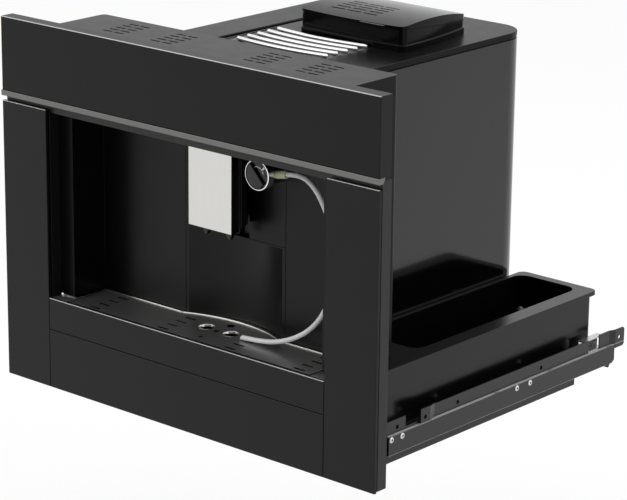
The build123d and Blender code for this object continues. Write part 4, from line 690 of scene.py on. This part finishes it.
# ---- shared shop
def stand(name: str, data: bpy.types.ID) -> Object:
    """Adds an object to the scene.

    Args:
        name: Its name.
        data: Its mesh, curve, lamp or camera.

    Returns:
        The object.
    """
    made = bpy.data.objects.new(name, data)
    bpy.context.scene.collection.objects.link(made)
    return made


def close_mesh(name: str, mesh: BMesh) -> bpy.types.Mesh:
    """Turns a bmesh into mesh data and frees it.

    Args:
        name: The mesh's name.
        mesh: The bmesh.

    Returns:
        The mesh data.
    """
    data = bpy.data.meshes.new(name)
    mesh.to_mesh(data)
    mesh.free()
    return data


@dataclass
class Shop:
    """What every sub-assembly needs: the frame, the finishes and a way to finish pieces."""

    frame: dict
    palette: Palette

    def dress_nodes(self, names: Iterable[str]) -> None:
        """Dresses construction nodes in the finish of their own slot.

        Args:
            names: The nodes' names.
        """
        parts = self.frame["record"]["subparts"]
        slots = {part["node"]: part["material_slot"] for part in parts}
        for name in names:
            self.palette.dress(self.frame["nodes"][name], slots[name])
            LOG.info("dressed %s in %s", name, slots[name])

    def piece(self, name: str, mesh: BMesh, body: str, slot: str) -> None:
        """Turns a finished bmesh into a piece that rides on a body.

        Args:
            name: The piece's name.
            mesh: The bmesh, in the shared frame; it is freed.
            body: The body that it rides on.
            slot: Its finish, which is the record's material slot of that name where there is one.
        """
        bmesh.ops.remove_doubles(mesh, verts=mesh.verts, dist=MERGE_DISTANCE)
        bmesh.ops.recalc_face_normals(mesh, faces=mesh.faces)
        for edge in mesh.edges:
            bend = edge.calc_face_angle(math.pi)
            edge.smooth = len(edge.link_faces) == 2 and bend < SMOOTH_BELOW
        for face in mesh.faces:
            face.smooth = True
        made = stand(name, close_mesh(name, mesh))
        self.palette.dress(made, slot)
        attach(made, body)
        LOG.info("piece %s on %s, %d faces", name, body, len(made.data.polygons))


def turn_to(direction: Vector, place: Vector) -> Matrix:
    """A placement whose Z axis points along a direction.

    Args:
        direction: Where Z goes.
        place: Where the origin goes.

    Returns:
        The placement.
    """
    return Matrix.Translation(place) @ direction.to_track_quat("Z", "Y").to_matrix().to_4x4()


def add_spun(mesh: BMesh, profile: Sequence[Pair], place: Matrix, steps: int,
             angles: Pair = FULL_TURN) -> None:
    """Spins a closed profile into a ring, or into an arc with closed ends.

    Args:
        mesh: The bmesh that it is added to.
        profile: Radius and height of each corner.
        place: The placement of the axis.
        steps: Steps along the turn.
        angles: Where the turn starts and ends, in degrees.
    """
    start = place @ Matrix.Rotation(math.radians(angles[0]), 4, "Z")
    corners = [mesh.verts.new(start @ Vector((radius, 0.0, height))) for radius, height in profile]
    edges = [mesh.edges.new((corners[i - 1], corners[i])) for i in range(len(corners))]
    axis = place.to_3x3() @ Vector((0.0, 0.0, 1.0))
    full = angles == FULL_TURN
    bmesh.ops.spin(mesh, geom=corners + edges, cent=place.translation, axis=axis,
                   angle=math.radians(angles[1] - angles[0]), steps=steps, use_merge=full,
                   use_duplicate=False)
    if not full:
        rims = [edge for edge in mesh.edges if len(edge.link_faces) == 1]
        bmesh.ops.holes_fill(mesh, edges=rims, sides=len(profile))


def bevel_edges(mesh: BMesh, edges: Sequence[BMEdge], radius: float) -> None:
    """Rounds edges off.

    Args:
        mesh: The bmesh.
        edges: Its edges.
        radius: Radius of the rounding.
    """
    bmesh.ops.bevel(mesh, geom=edges, offset=radius, segments=BEVEL_SEGMENTS, profile=0.5,
                    affect="EDGES", material=-1)


def add_block(mesh: BMesh, low: Point, high: Point, bevel: float) -> None:
    """Adds a block with rounded edges.

    Args:
        mesh: The bmesh that the block is added to.
        low: Its lowest corner.
        high: Its highest corner.
        bevel: Radius of its edges.
    """
    corners = bmesh.ops.create_cube(mesh, size=1.0)["verts"]
    bmesh.ops.scale(mesh, vec=Vector(high) - Vector(low), verts=corners)
    bmesh.ops.translate(mesh, vec=(Vector(low) + Vector(high)) / 2, verts=corners)
    bevel_edges(mesh, list({edge for corner in corners for edge in corner.link_edges}), bevel)


def add_ribbon(mesh: BMesh, path: Sequence[Pair], heights: Pair, thickness: float) -> None:
    """Adds an upright strip of sheet that follows a path in plan.

    Args:
        mesh: The bmesh that the strip is added to.
        path: X and Y of each corner.
        heights: Its lower and upper edge.
        thickness: Thickness of the sheet.
    """
    foot, head = (mesh.verts.new((*path[0], height)) for height in heights)
    edge = mesh.edges.new((foot, head))
    faces = []
    for before, after in zip(path, path[1:]):
        made = bmesh.ops.extrude_edge_only(mesh, edges=[edge])["geom"]
        corners = [part for part in made if isinstance(part, BMVert)]
        step = (after[0] - before[0], after[1] - before[1], 0.0)
        bmesh.ops.translate(mesh, verts=corners, vec=step)
        edge = next(part for part in made if isinstance(part, BMEdge)
                    and all(corner in corners for corner in part.verts))
        faces += [part for part in made if isinstance(part, BMFace)]
    bmesh.ops.recalc_face_normals(mesh, faces=faces)
    bmesh.ops.solidify(mesh, geom=faces, thickness=thickness)


def cut_off(mesh: BMesh, place: Vector, normal: Vector) -> list[BMEdge]:
    """Cuts away what lies on a plane's outer side.

    Args:
        mesh: The bmesh.
        place: A point on the plane.
        normal: The plane's normal, towards the side that goes.

    Returns:
        The edges of the open cut.
    """
    cut = bmesh.ops.bisect_plane(mesh, geom=mesh.verts[:] + mesh.edges[:] + mesh.faces[:],
                                 plane_co=place, plane_no=normal, clear_outer=True)
    return [part for part in cut["geom_cut"] if isinstance(part, BMEdge)]


# ---- sub-assemblies
@dataclass
class Assembly:
    """A group of the machine's construction nodes and the pieces that finish them."""

    shop: Shop
    nodes: Names = ()

    def build(self) -> None:
        """Dresses the group's nodes and adds its pieces."""
        self.shop.dress_nodes(self.nodes)
        self.add_pieces()

    def add_pieces(self) -> None:
        """Adds the pieces that the construction model doesn't hold; a plain group has none."""


@dataclass
class FrontPanel(Assembly):
    """The glass front with its steel frame, trim strip and control panel."""

    nodes: Names = (
        "frame_stile_right", "frame_stile_left", "frame_top_rail", "frame_bottom_rail",
        "pillar_panel_right", "pillar_panel_left", "lower_front_panel", "trim_strip",
        "control_panel", "control_board",
    )


@dataclass
class CupNiche(Assembly):
    """The duct housing and the niche that the cups stand in."""

    nodes: Names = (
        "vent_plate", "duct_sides", "niche_wall_left", "niche_wall_right", "niche_ceiling",
        "column_fascia", "cup_recess",
    )
    lip: Pair = (0.2240, 0.0278)  # outer end of the front lip, X and Y
    corner_x: float = 0.2022
    back_y: float = 0.0763
    skirt_ends: Pair = (-0.0725, 0.1075)  # the skirt stops at the drawer's tail
    skirt_z: Pair = (0.1119, 0.1164)
    skirt_sheet: float = 0.0010

    def add_pieces(self) -> None:
        """Closes the joint between the niche's walls and the drip grid."""
        mesh = bmesh.new()
        for side, end in zip((-1, 1), self.skirt_ends):
            path = ((side * self.lip[0], self.lip[1]), (side * self.corner_x, self.lip[1]),
                    (side * self.corner_x, self.back_y), (end, self.back_y))
            add_ribbon(mesh, path, self.skirt_z, self.skirt_sheet)
        self.shop.piece("niche_foot_skirt", mesh, "machine", "niche_plastic")


@dataclass
class CoffeeSpout(Assembly):
    """The height-adjustable spout with its steel face and two outlets."""

    nodes: Names = ("spout_housing", "spout_face", "coffee_nozzles")


@dataclass
class MilkFrother(Assembly):
    """The milk dial, its outlet, and the silicone hose that hangs from it down to the grid."""

    nodes: Names = ("frother_body", "milk_connector", "dial_ring", "frother_dial")
    dial: Point = (0.0865, 0.0400, 0.3215)  # the middle of the dial's disc
    face_radius: float = 0.0158
    face_height: float = 0.0030
    face_bevel: float = 0.0004
    half_height: float = 0.0038
    half_angle: float = math.radians(-48.0)  # the diagonal between the black and the grey half
    half_offset: float = 0.0034
    mark_height: float = 0.00015
    # Inner and outer radius, start and end in degrees, and steps: a scale arc and one thick tick.
    marks: tuple[tuple[Pair, Pair, int], ...] = (
        ((0.0093, 0.0102), (14.0, 118.0), 28),
        ((0.0112, 0.0150), (38.0, 48.0), 4),
    )
    outlet: Point = (0.0844, 0.0510, 0.3185)  # the outlet's foot inside the frother
    outlet_tilt: float = math.radians(11.0)
    collar: Pair = (0.0166, 0.0193)  # along the outlet
    collar_radius: Pair = (0.0037, 0.0046)
    collar_bevel: float = 0.0003
    hose_start: Pair = (0.036, 0.055)  # the first two points, along the outlet
    hose_diameter: float = 0.006
    hose_bore: float = 0.0036
    hose_length: float = 0.334
    hose_order: int = 3
    hose_steps: int = 10  # along each stretch
    hose_rounds: int = 7  # round the hose
    end_start: float = 0.0001
    end_length: float = 0.0045
    end_cut: float = 0.6  # where the slanted cut crosses, as a share
    end_slant: float = 0.55
    hang: tuple[Point, ...] = (
        (0.1595, 0.0505, 0.3205), (0.1755, 0.0500, 0.3015), (0.1875, 0.0505, 0.2755),
        (0.1930, 0.0515, 0.2450), (0.1920, 0.0510, 0.2125), (0.1830, 0.0500, 0.1820),
        (0.1670, 0.0490, 0.1570), (0.1445, 0.0475, 0.1385), (0.1175, 0.0455, 0.1260),
        (0.0890, 0.0435, 0.1202), (0.0610, 0.0425, 0.1190),
    )

    def outlet_point(self, along: float) -> Vector:
        """A point on the outlet's axis, measured from the outlet's foot inside the frother."""
        reach = Vector((math.cos(self.outlet_tilt), 0.0, math.sin(self.outlet_tilt)))
        return Vector(self.outlet) + reach * along

    def add_pieces(self) -> None:
        """Hangs the hose and finishes the dial and the outlet."""
        self.hang_hose()
        self.cut_hose_end()
        self.shop.piece("dial_face", self.face_plate(self.face_height), "dial", "gloss_black")
        self.add_grey_half()
        self.print_marks()
        self.fit_collar()

    def dial_place(self) -> Matrix:
        """The dial's placement: its axis points to the front, and its first radius right."""
        return Matrix.Translation(self.dial) @ Matrix.Rotation(math.pi / 2, 4, "X")

    def face_plate(self, height: float) -> BMesh:
        """A round plate on the dial's disc with a softened front edge.

        Args:
            height: How far the plate stands in front of the disc.

        Returns:
            The plate.
        """
        mesh = bmesh.new()
        middle = self.dial_place() @ Matrix.Translation((0.0, 0.0, height / 2))
        bmesh.ops.create_cone(mesh, cap_ends=True, segments=64, radius1=self.face_radius,
                              radius2=self.face_radius, depth=height, matrix=middle)
        front = [edge for edge in mesh.edges
                 if all(corner.co.y < self.dial[1] - height / 2 for corner in edge.verts)]
        bevel_edges(mesh, front, self.face_bevel)
        return mesh

    def add_grey_half(self) -> None:
        """The raised grey half of the dial's face, cut off along a diagonal."""
        mesh = self.face_plate(self.half_height)
        place = self.dial_place()
        across = Vector((math.sin(-self.half_angle), math.cos(self.half_angle), 0.0))
        across = place.to_3x3() @ across
        rim = cut_off(mesh, place.translation - across * self.half_offset, across)
        bmesh.ops.holes_fill(mesh, edges=rim, sides=0)
        self.shop.piece("dial_grip_half", mesh, "dial", "dial_grey")

    def print_marks(self) -> None:
        """The dial's white marks, a little in front of its face."""
        mesh = bmesh.new()
        low, high = self.face_height - self.mark_height, self.face_height + self.mark_height
        for (inner, outer), angles, steps in self.marks:
            profile = ((inner, low), (outer, low), (outer, high), (inner, high))
            add_spun(mesh, profile, self.dial_place(), steps, angles)
        self.shop.piece("dial_marks", mesh, "dial", "mark_white")

    def fit_collar(self) -> None:
        """The steel collar between the frother's outlet and the hose connector."""
        mesh = bmesh.new()
        along = (self.outlet_point(1.0) - self.outlet_point(0.0)).normalized()
        place = turn_to(along, self.outlet_point(self.collar[0]))
        (inner, outer), soft = self.collar_radius, self.collar_bevel
        length = self.collar[1] - self.collar[0]
        profile = ((inner, 0.0), (outer - soft, 0.0), (outer, soft), (outer, length - soft),
                   (outer - soft, length), (inner, length))
        add_spun(mesh, profile, place, steps=32)
        self.shop.piece("outlet_collar", mesh, "machine", "chrome_trim")

    def cut_hose_end(self) -> None:
        """The hose's open end with its bore, cut off at a slant."""
        end, before = Vector(self.hang[-1]), Vector(self.hang[-2])
        along = (end - before).normalized()
        mesh = bmesh.new()
        inner, outer = self.hose_bore / 2, self.hose_diameter / 2
        profile = ((inner, self.end_start), (outer, self.end_start), (outer, self.end_length),
                   (inner, self.end_length))
        add_spun(mesh, profile, turn_to(along, end), steps=32)
        slant = (along + Vector((0.0, 0.0, self.end_slant))).normalized()
        rims = cut_off(mesh, end + along * self.end_length * self.end_cut, slant)
        bmesh.ops.bridge_loops(mesh, edges=rims)
        self.shop.piece("hose_cut_end", mesh, "machine", "hose_silicone")

    def hang_hose(self) -> None:
        """The hose from its connector to its cut end on the grid."""
        route = [self.outlet_point(along) for along in self.hose_start]
        route += [Vector(point) for point in self.hang]
        line = bpy.data.curves.new("milk_hose_line", "CURVE")
        line.dimensions = "3D"
        spline = line.splines.new("NURBS")
        spline.points.add(len(route) - 1)
        for control, place in zip(spline.points, route):
            control.co = (*place, 1.0)
        spline.order_u = self.hose_order
        spline.use_endpoint_u = True
        spline.resolution_u = self.hose_steps
        line.bevel_depth = self.hose_diameter / 2
        line.bevel_resolution = self.hose_rounds
        line.use_fill_caps = True
        hose = stand("silicone_milk_hose", line)
        self.shop.palette.dress(hose, "hose_silicone")
        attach(hose, "machine")
        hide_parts("milk_hose")


@dataclass
class DripDrawer(Assembly):
    """The drip tray with its front, its grid and the box for spent coffee."""

    nodes: Names = ("tray_front", "drip_tray", "drip_grid", "grounds_container")
    corner_x: Pair = (0.1962, 0.2217)
    corner_y: Pair = (0.0044, 0.0266)
    corner_z: Pair = (0.1118, 0.1149)
    edge_bevel: float = 0.0003
    wide_holes: tuple[Pair, ...] = ((-0.0060, 0.0510), (0.0330, 0.0510))
    hole_profile: tuple[Pair, ...] = (
        (0.0093, 0.1120), (0.0097, 0.1118), (0.0102, 0.1150), (0.0100, 0.1152), (0.0098, 0.1150),
    )
    arc_middle: Pair = (0.0135, -0.0958)
    arc_radius: Pair = (0.1836, 0.1882)
    arc_angles: Pair = (65.0, 115.0)
    rim_z: Pair = (0.1149, 0.1159)
    rim_slope: float = 0.0002
    rim_back: float = 0.0742
    # Left and right end of each straight run, and its width.
    rim_runs: tuple[tuple[Pair, float], ...] = (
        ((-0.1958, -0.0655), 0.0032), ((0.0925, 0.1958), 0.0044),
    )

    def add_pieces(self) -> None:
        """Fills the drawer's front corners beside the grid and finishes the grid's edges."""
        plates = bmesh.new()
        for ends in ((-self.corner_x[1], -self.corner_x[0]), self.corner_x):
            low, high = zip(ends, self.corner_y, self.corner_z)
            add_block(plates, low, high, self.edge_bevel)
        self.shop.piece("grid_corner_plates", plates, "drip_drawer", "grid_steel")
        collars = bmesh.new()
        for x, y in self.wide_holes:
            add_spun(collars, self.hole_profile, Matrix.Translation((x, y, 0.0)), steps=48)
        self.shop.piece("grid_hole_collars", collars, "drip_drawer", "rim_satin")
        self.lay_rear_rim()

    def lay_rear_rim(self) -> None:
        """The polished rim along the grid's rear edge, which bows round the cup hollow."""
        mesh = bmesh.new()
        inner, outer = self.arc_radius
        low, high = self.rim_z
        profile = ((inner, low), (outer, low), (outer, high), (inner + self.rim_slope, high))
        place = Matrix.Translation((*self.arc_middle, 0.0))
        add_spun(mesh, profile, place, steps=40, angles=self.arc_angles)
        for (left, right), width in self.rim_runs:
            add_block(mesh, (left, self.rim_back - width, low), (right, self.rim_back, high),
                      self.edge_bevel)
        self.shop.piece("grid_rear_rim", mesh, "drip_drawer", "rim_satin")


@dataclass
class MachineBody(Assembly):
    """The wrapped body with its lid, cup warmer, service door and power inlet."""

    nodes: Names = (
        "body_shell", "body_lid", "cup_warmer_tray", "cup_warmer_bars", "service_door",
        "power_inlet", "base_pan",
    )
    bar_ends: Pair = (-0.0665, 0.0715)
    bar_first_y: float = 0.172
    bar_pitch: float = 0.018
    bar_count: int = 5
    bar_z: float = 0.4355
    bar_radius: float = 0.0025
    # A dark strip beside the warmer's slot, painted shadow of the slot: its lowest and highest
    # corner and its rounding.
    slot_shadow_low: Point = (-0.0930, 0.1590, 0.4338)
    slot_shadow_high: Point = (-0.0864, 0.3180, 0.4344)
    slot_shadow_bevel: float = 0.0002

    def add_pieces(self) -> None:
        """Rounds the warmer's bar ends and lays a dark strip beside its slot as painted shadow."""
        ends = bmesh.new()
        for end in self.bar_ends:
            for index in range(self.bar_count):
                spot = (end, self.bar_first_y + index * self.bar_pitch, self.bar_z)
                bmesh.ops.create_uvsphere(ends, u_segments=20, v_segments=12,
                                          radius=self.bar_radius, matrix=Matrix.Translation(spot))
        self.shop.piece("warmer_bar_ends", ends, "machine", "chrome_trim")
        # The strip laid here is no real seal but a dark strip, painted shadow of the slot.
        seal = bmesh.new()
        add_block(seal, self.slot_shadow_low, self.slot_shadow_high, self.slot_shadow_bevel)
        self.shop.piece("warmer_slot_shadow", seal, "machine", "seal_silicone")


@dataclass
class BeanHopper(Assembly):
    """The bean hopper, its lid and the lid's seal."""

    nodes: Names = ("bean_hopper", "hopper_lid", "hopper_lid_seal")


@dataclass
class WaterTank(Assembly):
    """The water tank beside the body."""

    nodes: Names = ("water_tank", "tank_strainer")
    edge_low: Point = (0.2451, 0.1520, 0.1227)
    edge_high: Point = (0.2461, 0.2870, 0.1234)
    edge_bevel: float = 0.0002

    def add_pieces(self) -> None:
        """Lays the light edge along the tank's grip ledge."""
        mesh = bmesh.new()
        add_block(mesh, self.edge_low, self.edge_high, self.edge_bevel)
        self.shop.piece("tank_grip_edge", mesh, "tank", "rim_satin")


@dataclass
class InnerWorks(Assembly):
    """What the body holds: grinder, brewing unit, heater, pump, frame and power board."""

    nodes: Names = (
        "grinder_housing", "burr_ring", "burr_cone", "grinder_motor", "chassis_frame",
        "brew_frame", "brew_piston", "brew_spindle", "brew_motor", "boiler", "water_pump",
        "power_board",
    )


@dataclass
class CabinetRails(Assembly):
    """The telescopic rails and the brackets that hold the machine in its cabinet."""

    nodes: Names = (
        "inner_rails", "middle_rails", "outer_rails", "rail_bracket_right", "rail_bracket_left",
        "rail_screws", "rail_bumpers",
    )
    screw_y: tuple[float, ...] = (0.051, 0.070, 0.285, 0.311)
    screw_z: float = 0.0458
    bracket_x: float = 0.280
    head: tuple[Pair, ...] = (
        (0.0013, -0.0002), (0.0036, -0.0002), (0.0035, 0.0003), (0.0028, 0.0009),
        (0.0017, 0.0011), (0.0013, 0.0010),
    )
    # The dark plug at the bottom of each screw's recess is painted shade of the recess.
    shade_plug_radius: float = 0.0014
    shade_plug_length: float = 0.0004  # length of the dark plug that ends the recess
    shade_plug_middle: float = -0.0001  # the plug's middle, from the bracket's face

    def add_pieces(self) -> None:
        """Gives each rail screw its domed head, and a dark plug at the bottom of its recess as
        painted shade.
        """
        heads, recess_shade_plugs = bmesh.new(), bmesh.new()
        for side in (-1.0, 1.0):
            for y in self.screw_y:
                face = Vector((side * self.bracket_x, y, self.screw_z))
                place = turn_to(Vector((side, 0.0, 0.0)), face)
                add_spun(heads, self.head, place, steps=24)
                # A dark hexagonal plug closes each recess's bottom: painted shade of the recess.
                bmesh.ops.create_cone(
                    recess_shade_plugs, cap_ends=True, segments=6, radius1=self.shade_plug_radius,
                    radius2=self.shade_plug_radius, depth=self.shade_plug_length,
                    matrix=place @ Matrix.Translation((0.0, 0.0, self.shade_plug_middle)))
        self.shop.piece("screw_heads", heads, "cabinet_rails", "zinc_steel")
        self.shop.piece("screw_recess_shade_plugs", recess_shade_plugs, "cabinet_rails", "bumper_rubber")


# ---- studio
@dataclass
class Studio:
    """Camera, lamps, pale surroundings and floor."""

    azimuth: float = math.radians(40.928)
    elevation: float = math.radians(16.971)
    roll: float = math.radians(0.639)
    target: Point = (0.2046, 0.0, 0.2653)
    distance: float = 2.9675
    focal_pixels: float = 2684.4
    floor_z: float = -0.30
    floor_colour: Colour = (0.36, 0.36, 0.36)
    floor_glow: float = 0.68  # added for rays that show the floor, so that it ends in white
    floor_half: float = 9.0
    sky_light: float = 0.75  # the world's strength as a light; it shows as white
    # Name, place, side and power in watts of each lamp.
    lamps: tuple[tuple[str, Point, float, float], ...] = (
        ("key_lamp", (-2.2, -2.8, 2.4), 2.6, 24.0),
        ("fill_lamp", (2.8, 1.2, 1.6), 2.4, 12.0),
        ("top_lamp", (0.3, 1.6, 2.8), 2.6, 14.0),
    )

    def set_camera(self) -> None:
        """Places the camera at the photograph's viewing angle."""
        turn = (Matrix.Rotation(self.azimuth, 4, "Z")
                @ Matrix.Rotation(math.pi / 2 - self.elevation, 4, "X")
                @ Matrix.Rotation(self.roll, 4, "Z"))
        lens = bpy.data.cameras.new("camera")
        lens.sensor_width = SENSOR_MM
        lens.lens = self.focal_pixels * SENSOR_MM / IMAGE_WIDTH
        camera = stand("camera", lens)
        camera.matrix_world = (Matrix.Translation(self.target) @ turn
                               @ Matrix.Translation((0.0, 0.0, self.distance)))
        bpy.context.scene.camera = camera

    @staticmethod
    def shown(bench: Bench) -> Wire:
        """1 for the camera's own rays and for those off gloss or through glass, and else 0."""
        camera, glossy, through = (
            bench.node("ShaderNodeLightPath", output=f"Is {ray} Ray")
            for ray in ("Camera", "Glossy", "Transmission"))
        return 1 - (1 - camera) * (1 - glossy) * (1 - through)

    def set_surroundings(self) -> None:
        """A white background to look at, and an even light for everything else."""
        world = bpy.data.worlds.new("studio")
        bpy.context.scene.world = world
        bench = Bench(world)
        strength = self.sky_light + self.shown(bench) * (1.0 - self.sky_light)
        background = bench.node("ShaderNodeBackground",
                                {"Color": (*WHITE, 1.0), "Strength": strength})
        bench.show(background, "ShaderNodeOutputWorld")

    def add_lamp(self, name: str, place: Point, side: float, power: float) -> None:
        """Adds one soft square lamp that looks at the machine.

        Args:
            name: The lamp's name.
            place: Where it stands.
            side: Length of its side.
            power: Its power in watts.
        """
        light = bpy.data.lights.new(name, "AREA")
        light.shape = "SQUARE"
        light.size = side
        light.energy = power
        away = (Vector(place) - Vector(self.target)).normalized()
        stand(name, light).matrix_world = turn_to(away, Vector(place))

    def lay_floor(self) -> None:
        """A pale floor that fades into the background and keeps the machine's shadow."""
        mesh = bmesh.new()
        bmesh.ops.create_grid(mesh, x_segments=2, y_segments=2, size=self.floor_half)
        bmesh.ops.translate(mesh, verts=mesh.verts, vec=(0.0, 0.0, self.floor_z))
        floor = stand("floor", close_mesh("floor", mesh))
        bench = Bench(bpy.data.materials.new("pale_floor"))
        paper = bench.node("ShaderNodeBsdfDiffuse", {"Color": (*self.floor_colour, 1.0)})
        glow = self.shown(bench) * self.floor_glow
        shine = bench.node("ShaderNodeEmission", {"Color": (*WHITE, 1.0), "Strength": glow})
        bench.show(bench.node("ShaderNodeAddShader", {0: paper, 1: shine}))
        floor.data.materials.append(bench.owner)

    def build(self) -> None:
        """Sets up the whole studio."""
        bpy.context.scene.view_settings.view_transform = "Standard"
        self.set_camera()
        self.set_surroundings()
        for lamp in self.lamps:
            self.add_lamp(*lamp)
        self.lay_floor()


def main() -> None:
    """Builds the looks of the whole machine."""
    logging.basicConfig(level=logging.INFO, format="%(name)s: %(message)s")
    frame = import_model()
    Studio().build()
    shop = Shop(frame, Palette())
    for group in (MilkFrother, FrontPanel, CupNiche, CoffeeSpout, DripDrawer, MachineBody,
                  BeanHopper, WaterTank, InnerWorks, CabinetRails):
        group(shop).build()
        LOG.info("%s is done", group.__name__)


if __name__ == "__main__":
    main()
